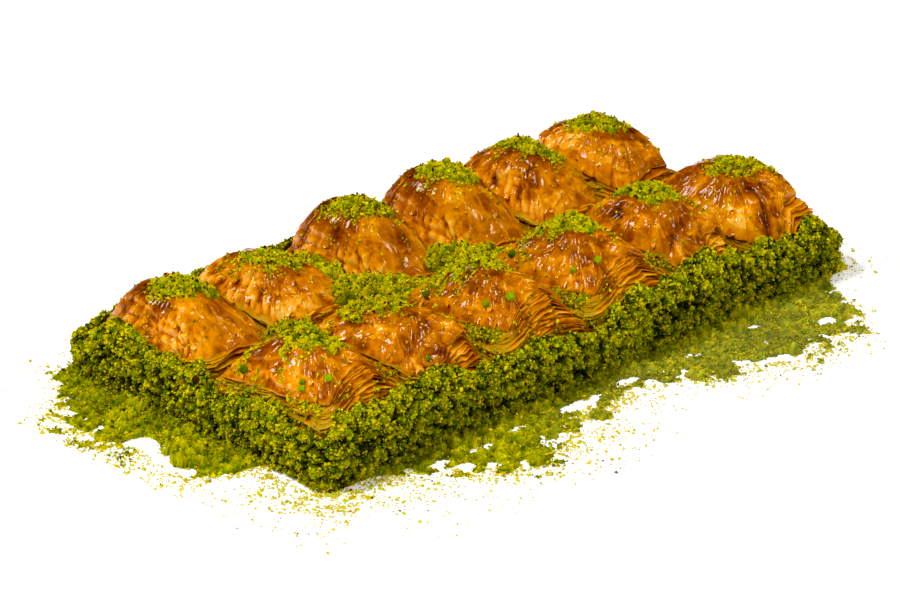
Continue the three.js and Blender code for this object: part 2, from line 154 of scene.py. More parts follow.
# Top of the coat: along the front over X, and along the left end over Y
COAT_FRONT = (
    (-133, 21.5), (-130, 24), (-120, 26.5), (-100, 25.5), (-90, 27.5), (-80, 28), (-70, 25.5),
    (-60, 21), (-48, 20), (-40, 22), (-30, 25), (-20, 22.5), (-10, 19.5), (0, 18), (10, 24),
    (20, 25), (40, 26), (50, 29), (60, 29.5), (70, 26.5), (80, 22.5), (90, 24), (110, 22.5),
    (120, 24), (130, 17), (133, 15),
)
COAT_LEFT = (
    (-67, 21), (-60, 18.5), (-50, 17), (-43, 18.5), (-36, 21.5), (-30, 23), (-20, 21),
    (-10, 19), (-3, 22), (3, 23.5), (10, 22.5), (20, 21.5), (44, 23.5), (52, 24.5),
    (58, 22.5), (63, 20.5), (67, 17.5),
)
COAT_BACK = 21.5
COAT_RIGHT = 16.5
HALF_X = 133.0
HALF_Y = 66.5

# How far the bed runs out from the block: along the front and back over X, along the ends over Y
BED_FRONT = (
    (-133, 2), (-115, 6), (-98, 19), (-75, 40), (-64, 39), (-34, 25), (0, 19), (12, 23),
    (28, 39), (39, 37), (63, 50), (96, 43), (108, 35), (114, 26), (119, 12), (125, 5), (133, 2),
)
BED_LEFT = (
    (-66, 2), (-38, 5), (-34, 25), (-30, 22), (-25, 36), (4, 32), (17, 37), (37, 36), (52, 24),
    (66, 12),
)
BED_RIGHT = ((-66, 7), (-36, 15), (0, 21), (36, 17), (66, 18))
BED_BACK = ((-133, 7), (-100, 16), (-67, 16), (-33, 23), (0, 19), (33, 15), (67, 22), (133, 18))

# Small mounds in the bed: place, half width, height
MOUNDS = (
    ((-154.5, -16.2), 7.5, 4.0),
    ((-68.8, -103.3), 3.5, 2.6),
    ((65.4, -106.2), 3.5, 2.6),
    ((-24.9, -92.9), 5.0, 2.0),
)

# Single bits on the pieces: place, size, tone
CHOPPED_BITS = (
    ((-128.1, -17.4), 2.3, 0.30),
    ((-121.3, -54.0), 2.5, 0.62),
    ((-127.4, -46.6), 2.0, 0.60),
    ((-126.2, -45.6), 1.6, 0.50),
    ((-39.1, -18.5), 2.2, 0.30),
    ((-30.3, -52.7), 2.4, 0.62),
    ((-36.7, -46.7), 2.0, 0.60),
    ((6.5, -17.3), 2.2, 0.30),
    ((15.1, -52.6), 2.4, 0.62),
    ((7.9, -47.2), 2.0, 0.60),
    ((-77.4, -57.9), 1.6, 0.42),
)

# Bits of brown skin: place and height, size
BROWN_SKINS = (
    ((-136.3, -1.2, 20.6), 2.5),
    ((-10.8, -9.6, 28.5), 2.8),
    ((-55.1, -9.3, 28.5), 2.8),
)


def box_mm(node):
    """Lowest and highest corner of a solid of the part."""
    low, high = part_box(node)
    return np.array(low) / MM, np.array(high) / MM


block_low = box_mm("pastry_f1")[0]
block_high = box_mm("pastry_b6")[1]
MIDDLE = np.array([(block_low[0] + block_high[0]) / 2, (block_low[1] + block_high[1]) / 2, 0.0])


def mix(a, b, share):
    return a + (b - a) * share


def smooth_step(low, high, value):
    share = np.clip((value - low) / (high - low), 0, 1)
    return share * share * (3 - 2 * share)


def looked_up(value, table):
    """The second column of a table, where its first column reaches a value."""
    return np.interp(value, *zip(*table))


def peak(value, at, width):
    """A smooth peak of height 1 round a value."""
    return np.exp(-((value - at) / width) ** 2)


def hill(x, y, at, widths):
    """A smooth hill of height 1 round a place, with its widths along X and Y."""
    return np.exp(-((x - at[0]) / widths[0]) ** 2 - ((y - at[1]) / widths[1]) ** 2)


def turned(x, y, degrees):
    """Places turned anticlockwise about the origin."""
    c, s = math.cos(math.radians(degrees)), math.sin(math.radians(degrees))
    return x * c - y * s, x * s + y * c


def hashed(ix, iy, seed):
    """Repeatable values from 0 to 1 at whole-numbered places."""
    with np.errstate(over="ignore"):
        h = ix.astype(np.int64).astype(np.uint32) * np.uint32(374761393)
        h = h + iy.astype(np.int64).astype(np.uint32) * np.uint32(668265263)
        h = h + np.uint32((int(seed) * 2246822519 + 977) & 0xFFFFFFFF)
        h = (h ^ (h >> np.uint32(13))) * np.uint32(1274126177)
        h = (h ^ (h >> np.uint32(15))) * np.uint32(2654435761)
        h = h ^ (h >> np.uint32(16))
    return h.astype(np.float64) / 4294967295.0


def noise(x, y, seed):
    """Smooth uneven values from -1 to 1, about one bump for each unit of length."""
    x, y = np.broadcast_arrays(np.asarray(x, float), np.asarray(y, float))
    ix, iy = np.floor(x), np.floor(y)
    fx, fy = x - ix, y - iy
    fx = fx * fx * (3 - 2 * fx)
    fy = fy * fy * (3 - 2 * fy)
    low = mix(hashed(ix, iy, seed), hashed(ix + 1, iy, seed), fx)
    high = mix(hashed(ix, iy + 1, seed), hashed(ix + 1, iy + 1, seed), fx)
    return 2 * mix(low, high, fy) - 1


def zigzag(x, seed):
    """Uneven values from -1 to 1 joined by straight lines, with a crease at each joint."""
    x = np.asarray(x, float)
    left = np.floor(x)
    return 2 * mix(hashed(left, 0 * left, seed), hashed(left + 1, 0 * left, seed), x - left) - 1


def rough(x, y, seed, octaves=3):
    """Noise with finer noise added to it, from about -1 to 1."""
    total, weight = 0.0, 1.0
    for octave in range(octaves):
        total = total + weight * noise(x * 2**octave, y * 2**octave, seed + 31 * octave)
        weight *= 0.5
    return total / (2 - 2 * weight)


def cells(x, y, seed):
    """Distances to the nearest and the second nearest of scattered points, one a unit square."""
    x, y = np.broadcast_arrays(np.asarray(x, float), np.asarray(y, float))
    ix, iy = np.floor(x), np.floor(y)
    nearest = np.full(x.shape, 9.0)
    second = np.full(x.shape, 9.0)
    for dx in (-1, 0, 1):
        for dy in (-1, 0, 1):
            px = ix + dx + 0.15 + 0.7 * hashed(ix + dx, iy + dy, seed)
            py = iy + dy + 0.15 + 0.7 * hashed(ix + dx, iy + dy, seed + 1)
            distance = np.hypot(px - x, py - y)
            second = np.minimum(second, np.maximum(nearest, distance))
            nearest = np.minimum(nearest, distance)
    return nearest, second


def placed(name, data):
    """A new object in the scene."""
    thing = bpy.data.objects.new(name, data)
    bpy.context.scene.collection.objects.link(thing)
    return thing


class Shells:
    """Closed shells gathered into one mesh, each turned outwards, with values for each point."""

    def __init__(self):
        self.points, self.faces, self.values, self.count = [], [], {}, 0

    def add(self, points, faces, **values):
        corners = points[faces]
        volume = np.einsum("ij,ij->", corners[:, 0], np.cross(corners[:, 1], corners[:, 2]))
        if volume < 0:
            faces = faces[:, ::-1]
        self.add_turned(points, faces, **values)

    def add_turned(self, points, faces, **values):
        self.points.append(points)
        self.faces.append(faces + self.count)
        self.count += len(points)
        for key, value in values.items():
            self.values.setdefault(key, []).append(np.broadcast_to(value, (len(points),)))

    def make(self, name, material, smooth=True, replaces=()):
        points, faces = np.concatenate(self.points), np.concatenate(self.faces)
        mesh = bpy.data.meshes.new(name)
        mesh.vertices.add(len(points))
        mesh.vertices.foreach_set("co", ((points + MIDDLE) * MM).astype(np.float32).ravel())
        mesh.loops.add(faces.size)
        mesh.loops.foreach_set("vertex_index", faces.astype(np.int32).ravel())
        mesh.polygons.add(len(faces))
        mesh.polygons.foreach_set("loop_start", np.arange(0, faces.size, 3, dtype=np.int32))
        mesh.polygons.foreach_set("use_smooth", np.full(len(faces), smooth))
        for key, parts in self.values.items():
            layer = mesh.attributes.new(key, "FLOAT", "POINT")
            layer.data.foreach_set("value", np.concatenate(parts).astype(np.float32))
        mesh.update(calc_edges=True)
        if smooth:
            mesh.set_sharp_from_angle(angle=math.radians(SHARP_ABOVE))
        mesh.materials.append(material)
        piece = placed(name, mesh)
        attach(piece, "root")
        if replaces:
            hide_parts(*replaces)


def ring_faces(rings, around, wrapped=False):
    """Triangles between rings of points laid one after the other."""
    k = np.arange(around)
    following = (k + 1) % around
    level = np.arange(rings if wrapped else rings - 1)[:, None]
    upper = (level + 1) % rings
    a, b = level * around + k, level * around + following
    c, d = upper * around + following, upper * around + k
    flip = ((level + k) % 2).astype(bool)
    first = np.where(flip[..., None], np.stack([a, b, d], -1), np.stack([a, b, c], -1))
    last = np.where(flip[..., None], np.stack([b, c, d], -1), np.stack([a, c, d], -1))
    return np.concatenate([first.reshape(-1, 3), last.reshape(-1, 3)])


def fan(middle, ring_start, around):
    k = np.arange(around)
    following = (k + 1) % around
    return np.stack([np.full(around, middle), ring_start + following, ring_start + k], -1)


def closed_rings(rings, around):
    """Triangles of a solid of rings and two points more, for its first and its last end."""
    last = rings * around
    return np.concatenate([
        ring_faces(rings, around), fan(last, 0, around),
        fan(last + 1, last - around, around)[:, ::-1],
    ])


def corners_of(grid):
    """The four corners of each square of a grid, in order round it."""
    return grid[:-1, :-1], grid[1:, :-1], grid[1:, 1:], grid[:-1, 1:]


def split_squares(a, b, c, d):
    """Two triangles for each square with these corners."""
    return np.concatenate([np.stack([a, b, c], -1), np.stack([a, c, d], -1)])


def scatter(points, faces, count, rng, weight):
    """Places on a mesh, with the outward direction there and the triangle each lies in."""
    corners = points[faces]
    cross = np.cross(corners[:, 1] - corners[:, 0], corners[:, 2] - corners[:, 0])
    area = np.linalg.norm(cross, axis=1)
    chance = area * weight
    chosen = rng.choice(len(faces), count, p=chance / chance.sum())
    a, b = rng.random((2, count))
    over = a + b > 1
    a, b = np.where(over, 1 - a, a), np.where(over, 1 - b, b)
    picked = corners[chosen]
    place = picked[:, 0] + a[:, None] * (picked[:, 1] - picked[:, 0])
    place = place + b[:, None] * (picked[:, 2] - picked[:, 0])
    normal = cross[chosen] / np.maximum(area[chosen], 1e-9)[:, None]
    return place, normal, chosen


GRAIN = np.array([[1, 0, 0], [-0.5, 0.87, 0], [-0.5, -0.87, 0], [0, 0, 1], [0, 0, -1]])
GRAIN_FACES = np.array([[0, 1, 3], [1, 2, 3], [2, 0, 3], [1, 0, 4], [2, 1, 4], [0, 2, 4]])


def turns(count, rng):
    """Random rotations, as matrices."""
    q = rng.normal(size=(count, 4))
    q /= np.linalg.norm(q, axis=1)[:, None]
    w, x, y, z = q.T
    return np.stack([
        np.stack([1 - 2 * (y * y + z * z), 2 * (x * y - z * w), 2 * (x * z + y * w)], -1),
        np.stack([2 * (x * y + z * w), 1 - 2 * (x * x + z * z), 2 * (y * z - x * w)], -1),
        np.stack([2 * (x * z - y * w), 2 * (y * z + x * w), 1 - 2 * (x * x + y * y)], -1),
    ], 1)


def add_grains(shells, places, radius, tone, rng, flat=1.0):
    """Small broken bits: uneven six-sided grains. flat below 1 makes them lie flat."""
    count, corners = len(places), len(GRAIN)
    shape = GRAIN[None] * rng.uniform(0.7, 1.3, (count, corners, 1))
    shape = shape + rng.normal(0, 0.12, (count, corners, 3))
    shape = shape * rng.uniform(0.75, 1.25, (count, 1, 3))
    shape = np.einsum("nij,nkj->nki", turns(count, rng), shape)
    shape[..., 2] *= flat
    points = places[:, None] + shape * np.asarray(radius)[:, None, None]
    points[..., 2] = np.maximum(points[..., 2], 0.03)
    faces = GRAIN_FACES[None] + corners * np.arange(count)[:, None, None]
    shells.add_turned(points.reshape(-1, 3), faces.reshape(-1, 3), tone=np.repeat(tone, corners))


def nut_tones(count, rng, middle, spread=0.17, skins=0.012):
    """Tones of single grains: dark to bright green, with a few brown skins at the far end."""
    tone = np.clip(rng.normal(middle, spread, count), 0.03, 0.9)
    return np.where(rng.random(count) < skins, rng.uniform(0.94, 1.0, count), tone)


def grain_radii(count, rng, sizes, chances=(0.45, 0.40, 0.15), spread=0.2):
    """Radii of grains of three sizes, each a little more or less."""
    return rng.choice(sizes, count, p=chances) * rng.uniform(1 - spread, 1 + spread, count)


# Materials

def linear(red, green, blue):
    """A colour given from 0 to 255 as a display shows it, as linear light."""
    def channel(value):
        value /= 255
        return value / 12.92 if value <= 0.04045 else ((value + 0.055) / 1.055) ** 2.4
    return channel(red), channel(green), channel(blue), 1.0


def new_material(name, **inputs):
    """A material with its node tree and its shader, whose inputs are given by name."""
    material = bpy.data.materials.new(name)
    material.use_nodes = True
    shader = material.node_tree.nodes["Principled BSDF"]
    for key, value in inputs.items():
        shader.inputs[key.replace("_", " ")].default_value = value
    return material, material.node_tree, shader


def add_node(tree, kind, inputs=None, **settings):
    node = tree.nodes.new(kind)
    for key, value in settings.items():
        setattr(node, key, value)
    for key, value in (inputs or {}).items():
        if isinstance(value, bpy.types.NodeSocket):
            tree.links.new(value, node.inputs[key])
        else:
            node.inputs[key].default_value = value
    return node


def add_ramp(tree, value, stops):
    """Colour for a value from 0 to 1, between stops of a value and a display colour each."""
    ramp = add_node(tree, "ShaderNodeValToRGB", {"Fac": value})
    elements = ramp.color_ramp.elements
    while len(elements) < len(stops):
        elements.new(0.5)
    for element, (position, *colour) in zip(elements, stops):
        element.position = position
        element.color = linear(*colour)
    return ramp.outputs["Color"]


def combine(tree, operation, a, b):
    return add_node(tree, "ShaderNodeMath", {0: a, 1: b}, operation=operation).outputs[0]


def add_weighted(tree, total, *parts, middle=0.0):
    """A value plus others, each less the middle and times its own weight."""
    for value, weight in parts:
        if middle:
            value = combine(tree, "SUBTRACT", value, middle)
        total = combine(tree, "ADD", total, combine(tree, "MULTIPLY", value, weight))
    return total


def noise_texture(tree, vector, scale, detail=2, roughness=0.55):
    return add_node(
        tree, "ShaderNodeTexNoise",
        {"Vector": vector, "Scale": scale, "Detail": detail, "Roughness": roughness},
    ).outputs["Fac"]


def attribute(tree, name):
    return add_node(tree, "ShaderNodeAttribute", attribute_name=name).outputs["Fac"]


def fitted(tree, value, low, high, at_low, at_high):
    """A value that goes from at_low to at_high while the given one goes from low to high."""
    return add_node(tree, "ShaderNodeMapRange", {
        "Value": value, "From Min": low, "From Max": high, "To Min": at_low, "To Max": at_high,
    }).outputs["Result"]


def blended(tree, share, a, b, blend_type="MIX"):
    return add_node(
        tree, "ShaderNodeMix", {"Factor": share, "A": a, "B": b},
        data_type="RGBA", blend_type=blend_type,
    ).outputs["Result"]


def bumped(tree, height, strength, distance):
    return add_node(
        tree, "ShaderNodeBump", {"Height": height, "Strength": strength, "Distance": distance},
    ).outputs["Normal"]


def pastry_material():
    """Baked thin dough under clear syrup. The bake value runs from pale gold to dark caramel; it
    also holds painted shade in creases, gaps and hollows and painted light on ridges and bulges.
    """
    material, tree, shader = new_material(
        "syrupy_pastry", Roughness=0.55, IOR=1.45, Specular_IOR_Level=0.0,
        Coat_Weight=0.85, Coat_Roughness=0.06, Coat_IOR=1.45,
    )
    place = add_node(tree, "ShaderNodeTexCoord").outputs["Object"]
    broad = noise_texture(tree, place, 55)
    drawn_out = add_node(
        tree, "ShaderNodeMapping", {"Vector": place, "Scale": (260, 60, 420)},
    ).outputs["Vector"]
    streaks = noise_texture(tree, drawn_out, 1.0, 4, 0.6)
    specks = noise_texture(tree, place, 900)
    # Patches of broken sheets with crisp edges
    warp = add_node(
        tree, "ShaderNodeTexNoise", {"Vector": place, "Scale": 160, "Detail": 3},
    ).outputs["Color"]
    warped = add_node(
        tree, "ShaderNodeVectorMath", {0: warp, 1: (0.007, 0.007, 0.007), 2: place},
        operation="MULTIPLY_ADD",
    ).outputs["Vector"]
    patches = add_node(tree, "ShaderNodeTexVoronoi", {"Vector": warped, "Scale": 190})
    patch = add_node(
        tree, "ShaderNodeSeparateColor", {"Color": patches.outputs["Color"]},
    ).outputs["Red"]
    toned = add_weighted(
        tree, attribute(tree, "bake"),
        (broad, 0.40), (patch, 0.20), (streaks, 0.32), (specks, 0.26), middle=0.5,
    )
    crust = add_ramp(tree, toned, [
        (0.00, 250, 190, 76),
        (0.18, 242, 164, 36),
        (0.36, 226, 136, 10),
        (0.55, 194, 109, 4),
        (0.75, 148, 69, 1),
        (1.00, 78, 26, 0),
    ])
    speckled = fitted(tree, specks, 0.42, 0.58, 0.4, 0.95)
    dusted = combine(tree, "MULTIPLY", attribute(tree, "dusting"), speckled)
    dusty = blended(tree, dusted, crust, linear(160, 138, 34))
    tree.links.new(dusty, shader.inputs["Base Color"])
    wrinkles = noise_texture(tree, place, 520, 4, 0.6)
    height = add_weighted(tree, wrinkles, (streaks, 0.8), (patch, 1.4))
    tree.links.new(bumped(tree, height, 0.3, 0.0005), shader.inputs["Normal"])
    ripples = noise_texture(tree, place, 700, 3, 0.6)
    gloss_height = add_weighted(tree, ripples, (patch, 0.9))
    tree.links.new(bumped(tree, gloss_height, 0.15, 0.0005), shader.inputs["Coat Normal"])
    return material


def nut_material(name, lift, pale=0.0):
    """Ground pistachio. The tone value runs from near black green to yellow, then brown skin; on
    the coat, heaps and bed it also holds painted shade in gaps and painted light on clumps.

    Towards the right end it turns paler by the share given.
    """
    material, tree, shader = new_material(
        name, Roughness=0.8, IOR=1.4, Specular_IOR_Level=0.04,
    )
    place = add_node(tree, "ShaderNodeTexCoord").outputs["Object"]
    tone, green = attribute(tree, "tone"), attribute(tree, "green")
    broad, fine = noise_texture(tree, place, 130), noise_texture(tree, place, 1500)
    shift = add_weighted(tree, lift, (broad, 0.30), (fine, 0.30), middle=0.5)
    # Brown skins keep their own tone
    is_nut = combine(tree, "LESS_THAN", tone, 0.92)
    toned = add_weighted(tree, tone, (shift, is_nut))
    brightest = add_weighted(tree, 1.0, (is_nut, -0.1))
    toned = combine(tree, "MINIMUM", toned, brightest)
    ground = add_ramp(tree, toned, [
        (0.00, 14, 12, 0),
        (0.15, 48, 48, 0),
        (0.35, 112, 113, 0),
        (0.55, 168, 164, 0),
        (0.72, 212, 198, 1),
        (0.88, 240, 216, 14),
        (0.95, 128, 66, 22),
        (1.00, 66, 34, 26),
    ])
    leaf = add_ramp(tree, toned, [
        (0.00, 8, 14, 0),
        (0.30, 56, 82, 2),
        (0.60, 120, 150, 6),
        (0.90, 190, 210, 16),
        (1.00, 62, 32, 24),
    ])
    greener = fitted(tree, noise_texture(tree, place, 420), 0.50, 0.64, 0.0, 0.9)
    colour = blended(tree, combine(tree, "MAXIMUM", greener, green), ground, leaf)
    browner = fitted(tree, noise_texture(tree, place, 560), 0.54, 0.70, 0.0, 0.6)
    browner = combine(tree, "MULTIPLY", browner, combine(tree, "SUBTRACT", 1.0, green))
    colour = blended(tree, browner, colour, (1.0, 0.72, 0.8, 1.0), "MULTIPLY")
    along = add_node(tree, "ShaderNodeSeparateXYZ", {"Vector": place}).outputs["X"]
    paler = fitted(tree, along, -0.11, 0.02, 0.0, pale)
    colour = blended(tree, paler, colour, linear(226, 214, 128))
    tree.links.new(colour, shader.inputs["Base Color"])
    tree.links.new(bumped(tree, fine, 0.5, 0.0004), shader.inputs["Normal"])
    return material


pastry_look = pastry_material()
nut_look = nut_material("ground_pistachio", 0.04)
dust_look = nut_material("pistachio_dust", 0.09, 0.12)


# Pieces of pastry

# Points along a piece's front, right, back and left side
SIDE_POINTS = (42, 28, 18, 64)
CORNER_SHARPNESS = 14
CAP_RINGS = 38
FLAKES = 22
# Points along a side of a flake
FLAKE_SIDE = 4


class Outline:
    """Points round a piece on a square from -1 to 1, from the front-left corner on."""

    def __init__(self):
        self.side = np.repeat(np.arange(4), SIDE_POINTS)
        self.along = np.concatenate([2 * (np.arange(n) + 0.5) / n - 1 for n in SIDE_POINTS])
        grow = (np.abs(self.along) ** CORNER_SHARPNESS + 1) ** (1 / CORNER_SHARPNESS)
        angle = self.side * math.pi / 2
        self.x = (self.along * np.cos(angle) + np.sin(angle)) / grow
        self.y = (self.along * np.sin(angle) - np.cos(angle)) / grow
        self.corner = np.abs(self.x * self.y) ** 5
        self.count = len(self.side)


OUTLINE = Outline()


class Pastry:
    """One piece: its place in the block, and the surfaces of its cap and its stack."""

    def __init__(self, name):
        self.shape, self.dome, at, size, turn, height = PIECES[name]
        low, high = box_mm(f"pastry_{name}")
        low, high = low - MIDDLE, high - MIDDLE
        self.form = {**ABSENT, **SHAPES[self.shape]}
        # Pieces of one shape are alike, as the photo shows
        self.seed = self.form["seed"]
        self.x, self.y = (low[0] + high[0]) / 2, (low[1] + high[1]) / 2
        self.half_x, self.half_y = (high[0] - low[0]) / 2, (high[1] - low[1]) / 2
        self.heap = ((self.x + at[0], self.y + at[1]), size, turn, height)
        self.lip_along, self.lip_height, self.lip_setback = np.array(self.form["lip"]).T
        self.rim = self.rim_height(OUTLINE.side, OUTLINE.along)
        self.front = np.interp(OUTLINE.x, self.lip_along, self.lip_setback)
        self.fullness = self.squareness(OUTLINE.x, OUTLINE.y)
        # Distance round the rim, from -110 to 110, with the joint at the back-right corner
        length = 2 * np.where(OUTLINE.side % 2 == 0, self.half_x, self.half_y)
        starts = np.array([0, 2 * self.half_x, 0, -2 * self.half_y])
        starts[2] = starts[3] - 2 * self.half_x
        self.round = starts[OUTLINE.side] + length * (OUTLINE.along + 1) / 2
        self.nose = self.form["nose"] * np.clip(1 - np.abs(self.round + 2.5) / 13, 0, 1)
        self.steps = 1.5 * self.form["nose"] * np.clip(1 - np.abs(self.round + 2) / 20, 0, 1)

    def rim_height(self, side, along):
        """Height of the rim at places along the sides, each side from -1 to 1."""
        rims, arch = np.array(self.form["rims"], float), np.array(self.form["arch"], float)
        height = mix(rims[side], rims[(side + 1) % 4], (along + 1) / 2)
        height += arch[side] * np.clip(1 - along**2, 0, 1) ** 1.3
        return np.where(side == 0, np.interp(along, self.lip_along, self.lip_height), height)

    def ring(self, inset, share):
        """The outline with its four sides moved in, and its corners rounded by a share."""
        grow = 1 - self.form["rounding"] * share * OUTLINE.corner
        x = mix(-self.half_x + inset[3], self.half_x - inset[1], (OUTLINE.x * grow + 1) / 2)
        y = mix(-self.half_y + inset[0], self.half_y - inset[2], (OUTLINE.y * grow + 1) / 2)
        return self.x + x, self.y + y

    def squareness(self, x, y):
        """The dome's exponent in a direction from its middle, blended between the sides."""
        front, right, back, left = self.form["fullness"]
        a, b = np.abs(x) ** 3, np.abs(y) ** 3
        sides, ends = np.where(x > 0, right, left), np.where(y > 0, back, front)
        return (a * sides + b * ends) / np.maximum(a + b, 1e-9)

    def insets(self, share, ragged):
        """Setbacks of the four sides at a share of the way up, made ragged from place to place."""
        stepped = np.interp(share, (0, 0.16, 0.48, 0.6, 1), (0, 0.36, 0.26, 0.8, 1))
        _, right, back, left = self.form["setback"]
        sides = [side * mix(share, stepped, 0.45) for side in (right, back, left)]
        front = self.front * np.interp(share, (0, 0.3, 0.6, 1), (0, 0.16, 0.36, 1))
        insets = [np.maximum(0.12, side + ragged) for side in [front] + sides]
        steps = self.steps * np.interp(share, (0.62, 1), (0, 1))
        insets[0] = insets[0] + steps
        insets[3] = insets[3] + steps - self.nose * np.interp(share, (0, 0.35, 0.65), (0, 0.5, 1))
        return insets

    def cap_ground(self, x, y):
        """Height of the smooth cap over places, as in the part."""
        _, right, back, left = self.form["setback"]
        dx, dy = x - self.x, y - self.y
        front = np.interp(dx / self.half_x, self.lip_along, self.lip_setback)
        a = dx / (self.half_x - np.where(dx > 0, right, left))
        b = dy / (self.half_y - np.where(dy > 0, back, front))
        share = np.maximum(np.maximum(np.abs(a), np.abs(b)), 1e-6)
        sideways = np.abs(a) > np.abs(b)
        side = np.where(sideways, np.where(a > 0, 1, 3), np.where(b > 0, 2, 0))
        along = np.where(sideways, b, a) / share * np.where((side == 3) | (side == 2), -1, 1)
        rim = self.rim_height(side, along)
        # Past its rim the cap goes on level, so that a heap's edge never drops into a cut
        return STAND + mix(self.dome, rim, np.minimum(share, 1) ** self.squareness(a, b))


def add_sheets(shells, pastry):
    """The stack of thin sheets whose edges show on the sides."""
    form, seed = pastry.form, pastry.seed
    rng = np.random.default_rng(seed)
    count = form["sheets"]
    along_rim = pastry.round
    pinch = 1 - np.abs(OUTLINE.along) ** 5
    room = (pastry.rim - SHEET_FOOT) / count
    # Sheets cling together in bundles, with wider gaps between them
    parted = rng.random(count) < 0.42
    bundle = np.cumsum(parted)
    gaps = np.where(parted, rng.uniform(1.2, 2.6, count), rng.uniform(0.35, 0.7, count))
    shares = (np.cumsum(gaps) - gaps / 2) / gaps.sum()
    bundle_out = rng.uniform(-1.0, 0.6, count + 1)
    for sheet, share in enumerate(shares):
        stand_out = bundle_out[bundle[sheet]] + rng.uniform(-0.25, 0.25)
        ragged = 1.3 * noise(along_rim / 10, bundle[sheet] * 3.3 + 0.12 * sheet, seed + 5)
        ragged = ragged + 0.5 * noise(along_rim / 2.9, sheet * 5.3, seed + 6) + stand_out
        chips = smooth_step(0.45, 0.6, noise(along_rim / 5.5, sheet * 3.1, seed + 7))
        insets = pastry.insets(share, ragged + 1.2 * chips)
        wave = form["wave"] * noise(along_rim / 8 + 0.2 * sheet, bundle[sheet] * 0.9, seed + 8)
        wave += 0.35 * form["wave"] * noise(along_rim / 3.2, sheet * 0.6, seed + 9)
        wave *= pinch * np.clip(room / 0.9, 0.25, 1)
        height = STAND + SHEET_FOOT + (pastry.rim - SHEET_FOOT) * share + wave
        uneven = 1 + 0.35 * noise(along_rim / 6, sheet * 2.3, seed + 13)
        thick = np.clip(0.45 * room, 0.14, 0.5) * uneven
        droop = 0.25 + 0.35 * noise(along_rim / 5, sheet * 1.7, seed + 10)
        rings = []
        for inward, rise in ((0.0, -droop + thick / 2), (1.5, 0.15 + thick / 2), (6.0, 1.3)):
            x, y = pastry.ring([side + inward for side in insets], share)
            crinkle = 0.22 * noise(along_rim / 1.7, sheet * 1.9 + inward, seed + 14) * (inward > 0)
            rings.append(np.stack([x, y, height + rise + crinkle], -1))
        x, y = pastry.ring([side + 0.15 for side in insets], share)
        rings.append(np.stack([x, y, height - droop - thick / 2], -1))
        toast = 0.58 + 0.26 * noise(along_rim / 7, bundle[sheet] * 2.9, seed + 11)
        toast = toast + 0.15 * rng.uniform(-1, 1) - 0.10 * peak(along_rim, 0, 7)
        # Each sheet is paler at its edge and painted darker further in, where the sheet above
        # shades it, as painted shade
        bake = np.concatenate([toast - 0.28, toast + 0.04, toast + 0.25, toast - 0.06])
        # Nut dust lies low on the front, and higher up on the other sides
        near_nose = smooth_step(31, 23, height)
        reach = np.where(
            OUTLINE.side == 0, 0.35 * smooth_step(24, 17, height), smooth_step(35, 26, height),
        )
        dusting = mix(reach, near_nose, peak(along_rim, 0, 12))
        dusting *= smooth_step(-1.0, 0.1, noise(along_rim / 4, sheet * 0.5, seed + 12))
        shells.add(
            np.concatenate(rings), ring_faces(4, OUTLINE.count, wrapped=True),
            bake=bake, dusting=np.tile(dusting, 4),
        )


def add_core(shells, pastry):
    """The dense body behind the sheets' edges, coloured dark as painted shade in the gaps between
    them.
    """
    rings, bakes_and_shades = [], []
    # From the foot up: share of the stack's height, distance behind the edges, bake value, dark as
    # painted shade
    levels = ((0, 0.05, 0.55), (0, 0.1, 0.55), (0.3, 1.7, 0.8), (0.65, 1.9, 0.8), (0.93, 2.2, 0.8))
    for level, (share, inward, bake) in enumerate(levels):
        x, y = pastry.ring([side + inward for side in pastry.insets(share, 0.0)], share)
        height = SHEET_FOOT + (pastry.rim - SHEET_FOOT) * share - 0.4
        rings.append(np.stack([x, y, STAND + height * (level > 0)], -1))
        bakes_and_shades.append(np.full(OUTLINE.count, bake))
    top = STAND + pastry.rim.min() - 1.5
    middles = [[pastry.x, pastry.y, STAND], [pastry.x, pastry.y, top]]
    shells.add(
        np.concatenate(rings + [middles]), closed_rings(len(levels), OUTLINE.count),
        bake=np.concatenate(bakes_and_shades + [[0.9, 0.9]]), dusting=0.8,
    )


